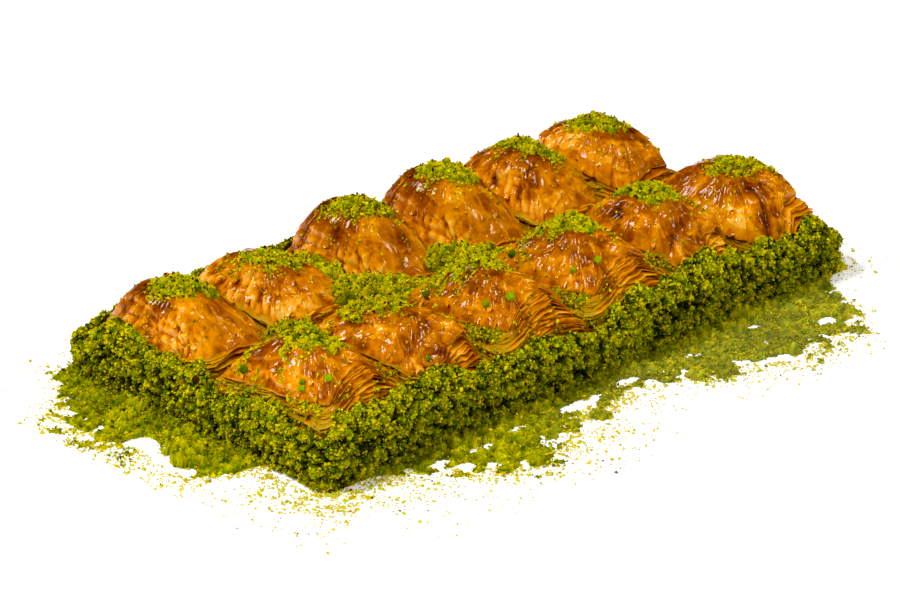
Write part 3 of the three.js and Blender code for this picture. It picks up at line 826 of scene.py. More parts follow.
def cap_relief(pastry, share, ground, down):
    """Relief of the cap over its smooth dome, and how baked it is, from middle to rim, with
    painted light on its raised parts and painted shade in its creases and hollows.

    down is the way over the surface from each place to the rim.
    """
    form, seed = pastry.form, pastry.seed
    x, y = ground[..., 0] - pastry.x, ground[..., 1] - pastry.y
    w = pastry.round[None, :] + 0 * share
    side = OUTLINE.side
    low = smooth_step(18, 7, down)

    relief = 3.6 * share * (1 - share) * rough(x / 13, y / 13, seed + 20, 2)
    bake = 0.60 + form["bake"] + 0.22 * rough(x / 10, y / 10, seed + 21)
    bake += 0.09 * smooth_step(0.75, 0.3, share)

    # Creases that run down from below the top, with flat facets between them; raised facets are
    # painted lighter and the creases darker, as painted light and shade
    bent = w / form["fold"] + 0.5 * noise(w / 14, down / 11, seed + 22)
    facet = zigzag(bent, seed + 23)
    slope = smooth_step(0.28, 0.68, share) * (1.3 - share)
    relief += form["facet"] * facet * slope
    bake -= 0.22 * facet * slope * min(1, form["facet"])

    # Pleats gathered above the rim, sharp along their ridges, and finer ones; their ridges are
    # painted lighter and the folds between darker, as painted light and shade
    slant = w + np.where(side == 0, 0.7, 0.1)[None, :] * down
    for width, length, strength, key in ((6.5, 10, 1.0, 25), (2.9, 5, 0.42, 26)):
        ridge = (1 - np.abs(noise(slant / width, down / length, seed + key))) ** 2
        fade = smooth_step(0.38, 0.72, share) * mix(0.5, 1.0, low)
        relief += strength * form["pleat"] * (ridge - 0.4) * fade
        bake -= (0.16 + 0.5 * form["pleat"]) * strength * (ridge - 0.4) * fade

    # Crumpled patches with sharp ridges, painted lighter on the ridges as painted light
    ridge = (1 - np.abs(noise(x / 3.4 + noise(x / 6, y / 6, seed + 35), y / 3.4, seed + 24))) ** 3
    relief += form["crumple"] * (ridge - 0.3) * smooth_step(0.25, 0.6, share)
    bake -= 0.18 * (ridge - 0.3)

    # Broken sheets that overlap like shingles, with pale raised lower edges; the strip at the foot
    # of each next edge is darker, partly darker syrup and partly painted shade
    level = down / 6.5 + 0.8 * noise(x / 9, y / 9, seed + 37) + 0.18 * zigzag(w / 2.7, seed + 38)
    step = np.floor(level)
    part = level - step
    there = smooth_step(0.05, 0.35, noise(w / 9 + 3.7 * step, step, seed + 39))
    there *= smooth_step(0.22, 0.42, share)
    relief += 0.42 * there * smooth_step(0, 0.08, part) * np.exp(-part / 0.45)
    bake -= 0.24 * there * peak(part, 0.07, 0.09)
    bake += 0.14 * there * smooth_step(0.7, 1.0, part)

    # Blisters in rows near the rim, mostly on the left side, painted lighter on their tops and
    # darker in the gaps between them, as painted light and shade
    lump_width, lump_height = form["lumps"]
    raised = 0.4 * noise(w / 9, 0, seed + 3)
    near, second = cells(w / lump_width, down / lump_height + raised, seed + 27)
    lump = np.clip(1.15 - 1.45 * near, 0, 1) * smooth_step(0.0, 0.2, second - near)
    left = np.where(side == 3, 1.0, np.where(side == 0, 0.1, 0.3))
    left = np.convolve(np.tile(left, 3), np.ones(19) / 19, "same")[OUTLINE.count:2 * OUTLINE.count]
    waist = 10.5 + 4 * noise(w / 10, 0, seed + 28) + 0.4 * (lump_height - 5)
    band = smooth_step(waist + 3, waist - 2, down) * left[None, :]
    band *= smooth_step(-1.0, -0.4, noise(w / 8, down / 8, seed + 36))
    relief += form["blister"] * (lump - 0.45) * band
    blistered = min(1.0, form["blister"] / 1.2)
    bake += blistered * band * (0.17 - 0.60 * lump)

    # A golden bulge over the front-left corner, painted lighter the higher it rises, as painted
    # light; the cap is also lighter near the rim at that corner
    *middle, width, rise = form["bulge"]
    bulge = hill(x, y, middle, (width, width))
    relief += rise * bulge
    bake -= 0.26 * min(1, 0.3 + rise / 2) * bulge
    bake -= 0.12 * peak(w, 0, 9) * smooth_step(18, 5, down)

    # A torn hollow in the front, painted darker as painted shade, with a glossy blister over it
    hollow = hill(x, y, (-13, -18), (4.8, 3.8))
    glossy = hill(x, y, (-7, -11), (6, 4.5))
    relief += form["hollow"] * (1.9 * glossy - 2.2 * hollow)
    bake += form["hollow"] * (0.34 * hollow + 0.04 * glossy)

    # A groove beside a lobe that folds over the corner, and a rough broken part next to it; the
    # groove is painted darker as painted shade, and the paler broken part is paler still on its
    # sharp ridges as painted light
    groove = peak(w - 0.15 * down, 10, 2.2) * smooth_step(24, 14, down)
    broken = smooth_step(11, 15, w) * smooth_step(46, 36, w) * smooth_step(17, 10, down)
    shards = (1 - np.abs(noise(w / 1.9, down / 2.6, seed + 44))) ** 2 - 0.4
    relief += form["lobe"] * (0.8 * shards * broken - 1.6 * groove)
    bake += form["lobe"] * (0.26 * groove - broken * (0.12 + 0.25 * shards))

    # A few big soft bubbles, painted lighter where they rise, as painted light
    near, _ = cells(x / 12.5, y / 12.5, seed + 29)
    bubble = smooth_step(0.5, 0.15, near)
    bubbly = smooth_step(0.2, 0.5, share) * smooth_step(1.02, 0.85, share)
    relief += form["bubble"] * bubble * bubbly
    bake -= 0.16 * bubble * bubbly * min(1, form["bubble"])

    # Edges of torn sheets that lie on the cap
    for layer in range(3):
        edge = 3.0 + 4.8 * layer + 2.8 * noise(w / 11, layer, seed + 30)
        edge += 0.9 * zigzag(w / 3.1 + 40 * layer, seed + 31)
        there = smooth_step(0.0, 0.2, noise(w / 24, layer * 7.7, seed + 32) + 0.2)
        lying = smooth_step(edge - 0.4, edge + 0.4, down) * there
        relief += 0.5 * lying
        bake = bake + 0.06 * lying - 0.26 * peak(down - edge, 0.3, 0.7) * there
    return relief, np.clip(bake, 0.08, 0.86)


def add_flakes(shells, pastry, skin, normal, bake):
    """Small loose flakes that lie on the cap with their lower edge raised."""
    rng = np.random.default_rng(pastry.seed + 50)
    a, b = np.meshgrid(
        np.linspace(-1, 1, FLAKE_SIDE), np.linspace(0, 1, FLAKE_SIDE), indexing="ij",
    )
    a, b, count = a.ravel(), b.ravel(), a.size
    grid = np.arange(count).reshape(FLAKE_SIDE, FLAKE_SIDE)
    upper = split_squares(*(corner.ravel() for corner in corners_of(grid)))
    border = np.concatenate([grid[:-1, 0], grid[-1, :-1], grid[:0:-1, -1], grid[0, :0:-1]])
    ahead = np.roll(border, -1)
    walls = split_squares(ahead, border, border + count, ahead + count)
    faces = np.concatenate([upper, upper[:, ::-1] + count, walls])
    for _ in range(FLAKES):
        ring = int(CAP_RINGS * rng.uniform(0.5, 0.97))
        place = rng.integers(OUTLINE.count)
        way = skin[min(ring + 2, CAP_RINGS - 1), place] - skin[ring - 1, place]
        up = normal[ring, place]
        way = way + rng.normal(0, 0.5, 3) * np.linalg.norm(way)
        way = way - up * (way @ up)
        way /= np.linalg.norm(way)
        across = np.cross(up, way)
        wide, length = rng.uniform(0.6, 2.2), rng.uniform(1.2, 3.6)
        lift, curl = rng.uniform(0.1, 0.6), rng.uniform(-0.4, 0.4)
        jag = rng.uniform(0.55, 1.25, count)
        along = (b - 0.4) * length * mix(1, jag, b)
        aside = a * wide * mix(1, 0.4, b) * jag
        rise = 0.12 + lift * b**1.5 + curl * (a * a - 0.4) * b
        sheet = skin[ring, place] + up * rise[:, None]
        sheet = sheet + way * along[:, None] + across * aside[:, None]
        points = np.concatenate([sheet, sheet - up * 0.13])
        toast = bake[ring, place] + rng.uniform(-0.06, 0.12)
        shells.add(points, faces, bake=np.tile(toast - 0.12 * b, 2), dusting=0.0)


def add_cap(shells, pastry):
    """The top sheets: a closed domed skin with a torn rim. Returns its upper surface."""
    form, seed = pastry.form, pastry.seed
    w = pastry.round
    ragged = 0.6 * noise(w / 8, 0.5, seed + 40) + 0.6 * zigzag(w / 2.6, seed + 41)
    tears = smooth_step(0.35, 0.5, noise(w / 6, 3.3, seed + 42))
    insets = pastry.insets(1.0, ragged + 2.6 * form["tear"] * tears - 0.4)
    edge_x, edge_y = pastry.ring(insets, 1.0)
    share = (np.linspace(0, 1, CAP_RINGS + 1)[1:] ** 0.62)[:, None]
    x = mix(pastry.x, edge_x, share)
    y = mix(pastry.y, edge_y, share)
    dome = STAND + mix(pastry.dome, pastry.rim[None, :], share ** pastry.fullness[None, :])
    ground = np.stack([x, y, dome], -1)
    steps = np.linalg.norm(np.diff(ground, axis=0), axis=-1)
    down = np.concatenate([np.cumsum(steps[::-1], 0)[::-1], np.zeros((1, OUTLINE.count))])
    normal = np.cross(
        np.roll(ground, -1, 1) - np.roll(ground, 1, 1), np.gradient(ground, axis=0),
    )
    normal *= np.sign(normal[..., 2:])
    normal /= np.linalg.norm(normal, axis=-1, keepdims=True)
    relief, bake = cap_relief(pastry, share, ground, down)
    skin = ground + normal * relief[..., None]
    rim = skin[-1]
    thick = 0.6 + 0.2 * noise(w / 6, 1.5, seed + 43)
    under = np.column_stack([rim[:, :2], rim[:, 2] - thick])
    inner = np.column_stack([
        mix(pastry.x, rim[:, 0], 0.85), mix(pastry.y, rim[:, 1], 0.85), under[:, 2],
    ])
    middles = [
        [pastry.x, pastry.y, STAND + pastry.dome + relief[0].mean()],
        [pastry.x, pastry.y, STAND + pastry.rim.min()],
    ]
    points = np.concatenate([skin.reshape(-1, 3), under, inner, middles])
    count = OUTLINE.count
    bake[-1] = bake[-1] * 0.5 + 0.2
    values = np.concatenate([bake.ravel(), np.full(count, 0.4), np.full(count, 0.9), [0.5, 0.9]])
    shells.add(points, closed_rings(CAP_RINGS + 2, count), bake=values, dusting=0.0)
    add_flakes(shells, pastry, skin, normal, bake)
    return points[:CAP_RINGS * count], ring_faces(CAP_RINGS, count)


pastries = {}
caps = {}
stacks = []
for name in PIECES:
    pastry = Pastry(name)
    shells = Shells()
    add_core(shells, pastry)
    before = len(shells.points)
    add_sheets(shells, pastry)
    stacks.append(shells.points[before:])
    caps[name] = add_cap(shells, pastry)
    pastries[name] = pastry
    shells.make(f"baked_{name}", pastry_look, replaces=[f"pastry_{name}"])


# The coat of ground pistachio on the outer sides

PATH_SPACING = 0.72
COAT_LEVELS = 35
COAT_CORNER = 4.0
COAT_CRUMBS = 22500
# Most crumbs that cling to one piece's sheets
CLINGING_CRUMBS = 1150
# Tone of the coat's body in its gaps, dark as painted shade, and how much brighter its highest
# crumbs are, as painted light
GAP_SHADE_TONE, HIGH_LIT_TONE = 0.01, 0.40


def rounded_path(half_x, half_y, radius, spacing):
    """Points, outward directions and distances round a rounded rectangle, anticlockwise."""
    straight = (2 * (half_x - radius), 2 * (half_y - radius))
    arc = radius * math.pi / 2
    points, normals = [], []
    for side in range(4):
        length = straight[side % 2]
        reach = (half_y, half_x)[side % 2]
        turn = side * math.pi / 2
        steps = int(round(length / spacing))
        along = (np.arange(steps) / steps - 0.5) * length
        local = [np.stack([along, np.full(steps, -reach)], -1)]
        heading = [np.full(steps, -math.pi / 2)]
        bends = max(4, int(round(arc / spacing)))
        angle = -math.pi / 2 + np.arange(bends) / bends * math.pi / 2
        centre = np.array([length / 2, -reach + radius])
        local.append(centre + radius * np.stack([np.cos(angle), np.sin(angle)], -1))
        heading.append(angle)
        local, heading = np.concatenate(local), np.concatenate(heading) + turn
        c, s = math.cos(turn), math.sin(turn)
        points.append(local @ np.array([[c, s], [-s, c]]))
        normals.append(np.stack([np.cos(heading), np.sin(heading)], -1))
    points, normals = np.concatenate(points), np.concatenate(normals)
    steps = np.linalg.norm(np.roll(points, -1, 0) - points, axis=1)
    return points, normals, np.concatenate([[0], np.cumsum(steps)[:-1]])


def coat_height(points, normals):
    """Height of the coat's upper edge at places round the block."""
    x, y = points.T
    heights = np.stack([
        looked_up(x, COAT_FRONT), np.full(len(x), COAT_RIGHT),
        COAT_BACK - 5.5 * smooth_step(106, 133, np.abs(x)), looked_up(y, COAT_LEFT),
    ])
    out_x, out_y = normals.T
    towards = np.maximum(0, np.stack([-out_y, out_x, out_y, -out_x])) ** 2
    return (towards * heights).sum(0) / towards.sum(0)


def coat_lean(z, normals):
    """How far the coat leans back onto the receding sheets at a height."""
    lean = np.where(normals[:, 1] < -0.7, 0.42, 0.5)
    return np.clip(z - 19.5, 0, 12) * lean


def clumps(x, z, seed):
    """Relief of crumbs stuck together, and its height from 0 to 1."""
    x = x + 0.9 * noise(x / 2.7, z / 2.7, seed + 4) + 2.2 * noise(x / 9, z / 9, seed + 6)
    z = z + 0.9 * noise(x / 2.9 + 7, z / 2.6, seed + 5) + 2.2 * noise(x / 9 + 5, z / 9, seed + 7)
    large, _ = cells(x / 8.5, z / 7.5, seed + 17)
    big, second = cells(x / 4.3, z / 3.9, seed)
    small, _ = cells(x / 1.9, z / 1.8, seed + 9)
    fine, _ = cells(x / 1.05, z / 1.0, seed + 13)
    seam = peak(second - big, 0, 0.16)
    relief = 2.4 * (0.5 - large) + 2.4 * (0.52 - big) + 1.1 * (0.5 - small) + 0.5 * (0.5 - fine)
    relief = relief - 1.2 * seam
    return relief, np.clip((relief + 1.6) / 2.8, 0, 1)


def add_coat(shells):
    """The coat's body. Returns its points, the faces that show, and its points' tones."""
    path, normals, distance = rounded_path(HALF_X, HALF_Y, COAT_CORNER, PATH_SPACING)
    around = len(path)
    top = coat_height(path, normals) + 1.9 * noise(distance / 8, 0, 701)
    top = top + 1.5 * noise(distance / 2.7, 0, 702)
    rings, tones = [], []
    thickness = 1 + 0.22 * noise(distance / 23, 0, 703)
    slim = 1 - 0.45 * smooth_step(0.6, 0.95, normals[:, 0])
    for share in np.linspace(0, 1, COAT_LEVELS):
        z = COAT_FOOT + top * share
        profile = np.interp(share, (0, 0.2, 0.5, 0.8, 0.93, 1), (3.6, 4.3, 4.5, 3.6, 2.4, 0.6))
        relief, high = clumps(distance, z, 711)
        relief += 1.1 * rough(distance / 12, z / 9, 713, 2)
        fade = np.interp(share, (0, 0.1, 0.9, 1), (0.6, 1, 1, 0.4))
        lean = coat_lean(z, normals)
        out = np.maximum(profile * thickness * slim + relief * fade, 0.6) - lean
        rings.append(np.column_stack([path + normals * out[:, None], z]))
        # Painted shade in the gaps between clumps and painted light on their tops
        tones.append(GAP_SHADE_TONE + HIGH_LIT_TONE * high**1.6)
    inner = path - normals * (coat_lean(top, normals) + 0.8)[:, None]
    rings.append(np.column_stack([inner, COAT_FOOT + top - 1.2]))
    rings.append(np.column_stack([path - normals * 0.4, np.full(around, COAT_FOOT)]))
    points = np.concatenate(rings)
    tone = np.concatenate(tones + [np.full(around, 0.2)] * 2)
    shells.add(points, ring_faces(len(rings), around, wrapped=True), tone=tone)
    # The last strip of these faces is the inner slope of the rim
    return points, ring_faces(COAT_LEVELS + 1, around), tone


coat = Shells()
coat_points, coat_faces, coat_tones = add_coat(coat)
coat_nodes = [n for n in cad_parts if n.startswith("nut_coat_")]
coat.make("coat_crust", nut_look, smooth=False, replaces=coat_nodes)

rng = np.random.default_rng(31)
lift = ((coat_tones[coat_faces].mean(1) - GAP_SHADE_TONE) / HIGH_LIT_TONE).clip(0, 1) ** 0.62
# Strip that each face lies in, from the foot up. The last one is the inner slope of the rim
around = len(coat_faces) // (2 * COAT_LEVELS)
strip = np.arange(len(coat_faces)) // around % COAT_LEVELS
at_rim = strip > COAT_LEVELS * 5 // 6
inner_slope = strip == COAT_LEVELS - 1
where = coat_points[coat_faces].mean(1)
# The sides that the photo shows get the most
seen = np.where((where[:, 1] < -60) | (where[:, 0] < -126), 1.0, 0.5)
weight = (0.06 + lift**1.8 + 0.35 * at_rim) * seen
places, outward, chosen = scatter(coat_points, coat_faces, COAT_CRUMBS, rng, weight)
inwards = np.einsum("ij,ij->i", outward[:, :2], places[:, :2]) < 0
outward = np.where(inwards[:, None], -outward, outward)
outward = np.where(inner_slope[chosen][:, None], (0, 0, 1), outward)
radius = grain_radii(COAT_CRUMBS, rng, (0.38, 0.56, 0.82), (0.46, 0.38, 0.16), 0.15)
# Crumbs on high clumps are painted lighter and those in gaps darker, and all are painted lighter
# higher up the coat, as painted light and shade
tone = nut_tones(COAT_CRUMBS, rng, 0.47, 0.15, 0.020) + 0.34 * (lift[chosen] - 0.6)
tone += 0.08 * smooth_step(6, 24, places[:, 2])
crumbs = Shells()
places = places + outward * rng.uniform(-0.2, 0.55, COAT_CRUMBS)[:, None]
add_grains(crumbs, places, radius, np.clip(tone, 0.02, 1), rng)

# Crumbs that cling to the sheets' edges over the coat
for stack in stacks:
    outer = np.concatenate([points[:OUTLINE.count] for points in stack])
    x, y, z = outer.T
    at_front, at_left, at_back = y < -HALF_Y + 9, x < -HALF_X + 4, y > HALF_Y - 5
    at_right = x > HALF_X - 10
    outside = at_front | at_left | at_back | at_right
    above = z - np.select(
        [at_front, at_left, at_back],
        [looked_up(x, COAT_FRONT), looked_up(y, COAT_LEFT), COAT_BACK],
        COAT_RIGHT,
    )
    # More of them cling to the right end, where the coat is low
    decay = np.where(at_right, 9, 4.5)
    chance = np.where(outside & (above > -2), np.exp(-np.maximum(above, 0) / decay), 0)
    chance *= np.where(at_left, 1.8, 1)
    # In the cuts crumbs lie low on the sheets' edges and near the heaps
    inside = (z > 15) & ~outside
    in_front = y < -HALF_Y + 40
    low_down = np.exp(-np.maximum(z - np.where(in_front, 25, 19), 0) / 2.5)
    chance += np.where(inside, np.where(in_front, 2.6, 0.35) * low_down, 0)
    near_x, near_y = np.clip(x, -HALF_X, HALF_X), np.clip(y, -HALF_Y, HALF_Y)
    chance *= smooth_step(-0.5, 0.4, noise(near_x / 8, near_y / 8 + z / 6, 733))
    count = int(min(CLINGING_CRUMBS, chance.sum() * 0.6))
    picked = rng.choice(len(outer), count, p=chance / chance.sum())
    spots = outer[picked] + rng.normal(0, 0.45, (count, 3))
    add_grains(crumbs, spots, rng.uniform(0.35, 0.8, count), nut_tones(count, rng, 0.58), rng)
crumbs.make("coat_crumbs", nut_look, smooth=False)


# Heaps of ground pistachio

HEAP_AROUND = 84
HEAP_RINGS = 18
HEAP_CRUMBS_PER_AREA = 1.75
# Crumbs spilled over a cap, and over one of the sheaf's shape
SPILLED, SPILLED_ON_SHEAF = 330, 760


def add_heap(shells, at, size, turn, rise, ground, foot, seed, bumps=1.15):
    """A mound of crumbs stuck together, with loose ones on top."""
    rng = np.random.default_rng(seed)
    heading = np.arange(HEAP_AROUND) / HEAP_AROUND * TURN
    ragged = 1 + 0.16 * noise(2 * np.cos(heading) + 9, 2 * np.sin(heading), seed)
    ragged = ragged + 0.12 * noise(6 * np.cos(heading), 6 * np.sin(heading), seed + 1)
    share = np.linspace(0, 1, HEAP_RINGS + 1)[1:][:, None]
    along = np.cos(heading) * ragged * size[0] / 2 * share
    across = np.sin(heading) * ragged * size[1] / 2 * share
    x, y = turned(along, across, turn)
    x, y = x + at[0], y + at[1]
    relief, high = clumps(x, y, seed + 3)
    profile = np.interp(share, (0, 0.45, 0.78, 0.93, 1), (1, 0.93, 0.62, 0.28, 0.0))
    fade = np.interp(share, (0, 0.85, 1), (1, 0.9, 0.35))
    base = ground(x, y)
    top = np.stack([x, y, base + rise * profile + bumps * relief * fade - 0.4], -1)
    top = top.reshape(-1, 3)
    low = np.stack([x[-1], y[-1], base[-1] - foot], -1)
    middle = float(ground(*at))
    middles = [[*at, middle + rise], [*at, middle - foot]]
    # The mound is painted darker in its gaps and lighter on its high clumps, as painted shade and
    # light
    tone = np.concatenate([(0.12 + 0.50 * high**1.3).ravel(), np.full(HEAP_AROUND + 2, 0.3)])
    shells.add(
        np.concatenate([top, low, middles]), closed_rings(HEAP_RINGS + 1, HEAP_AROUND), tone=tone,
    )
    top_faces = ring_faces(HEAP_RINGS, HEAP_AROUND)
    lift = high.ravel()[top_faces].mean(1)
    area = math.pi * size[0] * size[1] / 4
    count = int(HEAP_CRUMBS_PER_AREA * area)
    places, normal, chosen = scatter(top, top_faces, count, rng, 0.35 + lift)
    normal = np.where(normal[:, 2:] < 0, -normal, normal)
    places = places + normal * rng.uniform(-0.1, 0.6, count)[:, None]
    radius = grain_radii(count, rng, (0.38, 0.52, 0.75))
    # Loose crumbs are painted lighter on high clumps and darker low down, as painted light and
    # shade
    tone = nut_tones(count, rng, 0.63, 0.15, 0.022) + 0.44 * (lift[chosen] - 0.46)
    add_grains(shells, places, radius, np.clip(tone, 0.02, 1), rng)


for number, (name, pastry) in enumerate(pastries.items()):
    at, size, turn, height = pastry.heap
    shells = Shells()
    add_heap(shells, at, size, turn, height - 1.1, pastry.cap_ground, 2.5, 2000 + 17 * number)
    # Crumbs that have spilled over the cap, thinning out from the heap
    rng = np.random.default_rng(2500 + number)
    top, top_faces = caps[name]
    x, y, _ = top[top_faces].mean(1).T
    dx, dy = x - at[0], y - at[1]
    along, across = turned(dx, dy, -turn)
    far = 2 * np.hypot(along / size[0], across / size[1])
    patch = smooth_step(-0.3, 0.6, noise(x / 5, y / 5, 2600 + number))
    weight = np.exp(-np.maximum(far - 0.85, 0) / 0.3) * patch + 0.010
    count = SPILLED
    if pastry.shape == "sheaf":
        weight += 1.8 * hill(dx, dy, (-13, 16), (7, 12)) * patch
        count = SPILLED_ON_SHEAF
    places, _, _ = scatter(top, top_faces, count, rng, weight)
    places = places + np.array([0, 0, 0.25])
    tone = nut_tones(count, rng, 0.62, 0.14, 0.03)
    add_grains(shells, places, rng.uniform(0.3, 0.75, count), tone, rng)
    shells.make(f"heap_{name}", nut_look, smooth=False, replaces=[f"topping_{name}"])

for number, (at, size, turn, top) in enumerate(CUT_HEAPS):
    shells = Shells()

    def level(x, y, height=STAND + top - 3.0):
        return np.full(np.shape(x), height)

    add_heap(shells, at, size, turn, 3.4, level, 8.0, 2900 + 13 * number, bumps=1.9)
    shells.make(
        f"heap_in_cut_{number + 1}", nut_look, smooth=False,
        replaces=[f"cut_heap_{number + 1}"],
    )


# The bed strewn round the block

BED_CELL = 0.95
BED_X, BED_Y = (-177, 160), (-122, 96)
# Corners of the floor that specks may lie on
STREWN_LOW, STREWN_HIGH = (-177, -128), (160, 98)
# The bed is there where a value is above this
BED_EDGE = 0.05
BED_CRUMBS = 9500
SPECKS = 6000
# Spots near the block's foot where the floor shows: place and half width
BARE_SPOTS = (
    ((-93, -80), 1.8), ((-75, -82), 2.6), ((-55, -80), 2.0), ((-28, -81.5), 2.4), ((2, -80), 2.0),
    ((34, -82), 2.4), ((70, -81), 2.0),
)


def bed_reach(x, y):
    """How far the bed runs out there, and how far outside the block a place is."""
    out_x, out_y = np.maximum(np.abs(x) - HALF_X, 0), np.maximum(np.abs(y) - HALF_Y, 0)
    distance = np.hypot(out_x, out_y)
    ends = np.where(x < 0, looked_up(y, BED_LEFT), looked_up(y, BED_RIGHT))
    sides = np.where(y < 0, looked_up(x, BED_FRONT), looked_up(x, BED_BACK))
    share = out_x**2 / np.maximum(out_x**2 + out_y**2, 1e-9)
    return mix(sides, ends, share), distance


def bed_surface(x, y):
    """Height of the bed, and above 0 where there is any, and how high a clump stands there."""
    reach, distance = bed_reach(x, y)
    share = distance / np.maximum(reach, 1)
    outer = smooth_step(0.15, 0.7, share)
    ragged = 0.20 * noise(x / 9, y / 9, 801) + 0.16 * noise(x / 3.2, y / 3.2, 802)
    holes = smooth_step(0.25, 0.6, noise(x / 8, y / 8, 803)) * smooth_step(0.3, 0.8, share)
    pits = smooth_step(0.2, 0.6, noise(x / 3.1, y / 3.1, 804)) * outer
    there = 1.02 - share - ragged * outer - 0.8 * holes - 0.38 * pits
    bent = x + 2 * noise(x / 8, y / 8, 808)
    big, _ = cells(bent / 5.2, y / 5.2, 805)
    small, _ = cells(bent / 2.3, y / 2.3, 806)
    clump = np.clip(0.95 - 1.25 * big, 0, 1) + 0.7 * (0.5 - small)
    clump *= 0.65 + 0.55 * noise(x / 12, y / 12, 809)
    base = np.interp(share, (0, 0.25, 0.6, 1), (3.1, 2.3, 1.6, 0.9))
    height = base * (0.25 + 1.55 * clump) + 0.5 * noise(x / 1.3, y / 1.3, 807)
    uneven = 0.8 + 0.6 * noise(x / 2.1, y / 1.9, 814)
    for at, half_width in BARE_SPOTS:
        there -= 2.2 * hill(x, y, at, (2 * half_width, half_width)) * uneven
    for at, half_width, rise in MOUNDS:
        near = hill(x, y, at, (half_width, half_width))
        height += rise * near * (0.5 + clump)
        there = np.maximum(there, 1.6 * near - 0.8)
    height = np.maximum(0.15, height) * smooth_step(0.0, 0.14, there)
    return np.maximum(height, 0.06), there, clump


def strewn(count, rng, chance_at):
    """Places on the floor, each kept with its own chance."""
    kept, tries = [np.empty((0, 2))], 8000
    while sum(map(len, kept)) < count:
        tried = rng.uniform(STREWN_LOW, STREWN_HIGH, (tries, 2))
        kept.append(tried[rng.random(tries) < chance_at(*tried.T)])
    return np.concatenate(kept)[:count]


def bed_mask(there, x, y):
    """Which squares of the bed are kept: those that it covers, and all at the block's foot."""
    inside = (np.abs(x) < HALF_X - 0.5) & (np.abs(y) < HALF_Y - 0.5)
    at_foot = (np.abs(x) < HALF_X + 3) & (np.abs(y) < HALF_Y + 3)
    kept = ((there > BED_EDGE) | at_foot) & ~inside
    # Squares that touch at one corner alone are joined, so that no edge has four faces
    for _ in range(4):
        a, b, c, d = corners_of(kept)
        crossing = (a & c & ~b & ~d) | (b & d & ~a & ~c)
        if not crossing.any():
            break
        for corner in corners_of(kept):
            corner |= crossing
    return kept


def add_bed(shells):
    """The bed round the block, with walls down to the floor at its edges."""
    x, y = np.meshgrid(np.arange(*BED_X, BED_CELL), np.arange(*BED_Y, BED_CELL), indexing="ij")
    x = x + 0.25 * BED_CELL * noise(x * 3.1, y * 3.1, 811)
    y = y + 0.25 * BED_CELL * noise(x * 3.3, y * 2.9, 812)
    height, there, clump = bed_surface(x, y)
    kept = bed_mask(
        sum(corners_of(there)) / 4, (x[:-1, :-1] + x[1:, 1:]) / 2, (y[:-1, :-1] + y[1:, 1:]) / 2,
    )
    count = x.size
    number = np.arange(count).reshape(x.shape)
    upper = split_squares(*(corner[kept] for corner in corners_of(number)))
    faces = [upper, upper[:, ::-1] + count]
    padded = np.pad(kept, 1)
    i, j = np.nonzero(kept)
    for di, dj, start, end in (
        (-1, 0, (0, 1), (0, 0)), (1, 0, (1, 0), (1, 1)),
        (0, -1, (0, 0), (1, 0)), (0, 1, (1, 1), (0, 1)),
    ):
        at_edge = ~padded[i + 1 + di, j + 1 + dj]
        p = number[i[at_edge] + start[0], j[at_edge] + start[1]]
        q = number[i[at_edge] + end[0], j[at_edge] + end[1]]
        faces.append(split_squares(q, p, p + count, q + count))
    points = np.concatenate([
        np.stack([x, y, z], -1).reshape(-1, 3) for z in (height, np.full(x.shape, BED_FOOT))
    ])
    # The bed is painted lighter on its clumps and darker between them, as painted light and shade
    tone = 0.19 + 0.46 * clump + 0.08 * rough(x / 6, y / 6, 813)
    tone = np.tile((tone + 0.12 * noise(x / 1.3, y / 1.3, 817)).ravel(), 2)
    used, faces = np.unique(np.concatenate(faces), return_inverse=True)
    shells.add_turned(points[used], faces.reshape(-1, 3), tone=tone[used])


def add_underlay(shells):
    """The part of the bed that the pieces stand on. It shows at the bottom of the cuts."""
    half_x, half_y = HALF_X - 0.2, HALF_Y - 0.2
    x, y = np.meshgrid(
        np.linspace(-half_x, half_x, 84), np.linspace(-half_y, half_y, 44), indexing="ij",
    )
    # Each ring runs over the floor and back over the upper side
    upper = STAND - 0.12 + 0.1 * noise(x / 1.7, y / 1.7, 815)
    rings = np.stack([
        np.hstack([x, x[:, ::-1]]), np.hstack([y, y[:, ::-1]]),
        np.hstack([np.full(x.shape, BED_FOOT), upper[:, ::-1]]),
    ], -1)
    ends = [[-half_x, 0, STAND / 2], [half_x, 0, STAND / 2]]
    points = np.concatenate([rings.reshape(-1, 3), ends])
    shells.add(points, closed_rings(*rings.shape[:2]), tone=0.5)


bed = Shells()
add_bed(bed)
add_underlay(bed)
bed.make("bed_powder", dust_look, smooth=False, replaces=["pistachio_bed"])


def crumb_chance(x, y):
    """Loose crumbs lie on the bed's clumps and most of all along its edge."""
    _, there, clump = bed_surface(x, y)
    _, distance = bed_reach(x, y)
    chance = np.where(there > 0, 0.25 + 0.35 * clump, 0) + 0.6 * peak(there, 0, 0.09)
    return np.where(distance > 1, chance, 0)


def dust_chance(x, y):
    """Specks thin out away from the bed. Most lie off the front-left corner and the front."""
    reach, distance = bed_reach(x, y)
    past = distance - np.maximum(reach, 6)
    at_corner = np.exp(-np.hypot(x + HALF_X, y + HALF_Y) / 70)
    before_front = peak(x, -35, 40) * smooth_step(HALF_Y, HALF_Y + 15, -y)
    at_corner = np.maximum(at_corner, 0.6 * before_front)
    chance = np.exp(-np.maximum(past, 0) / (5 + 11 * at_corner)) * (0.4 + 1.0 * at_corner)
    chance *= smooth_step(-0.9, 0.3, noise(x / 6, y / 6, 821))
    return np.where((past > -5) & (distance > 0), chance, 0) * np.where(y > HALF_Y, 0.3, 1)


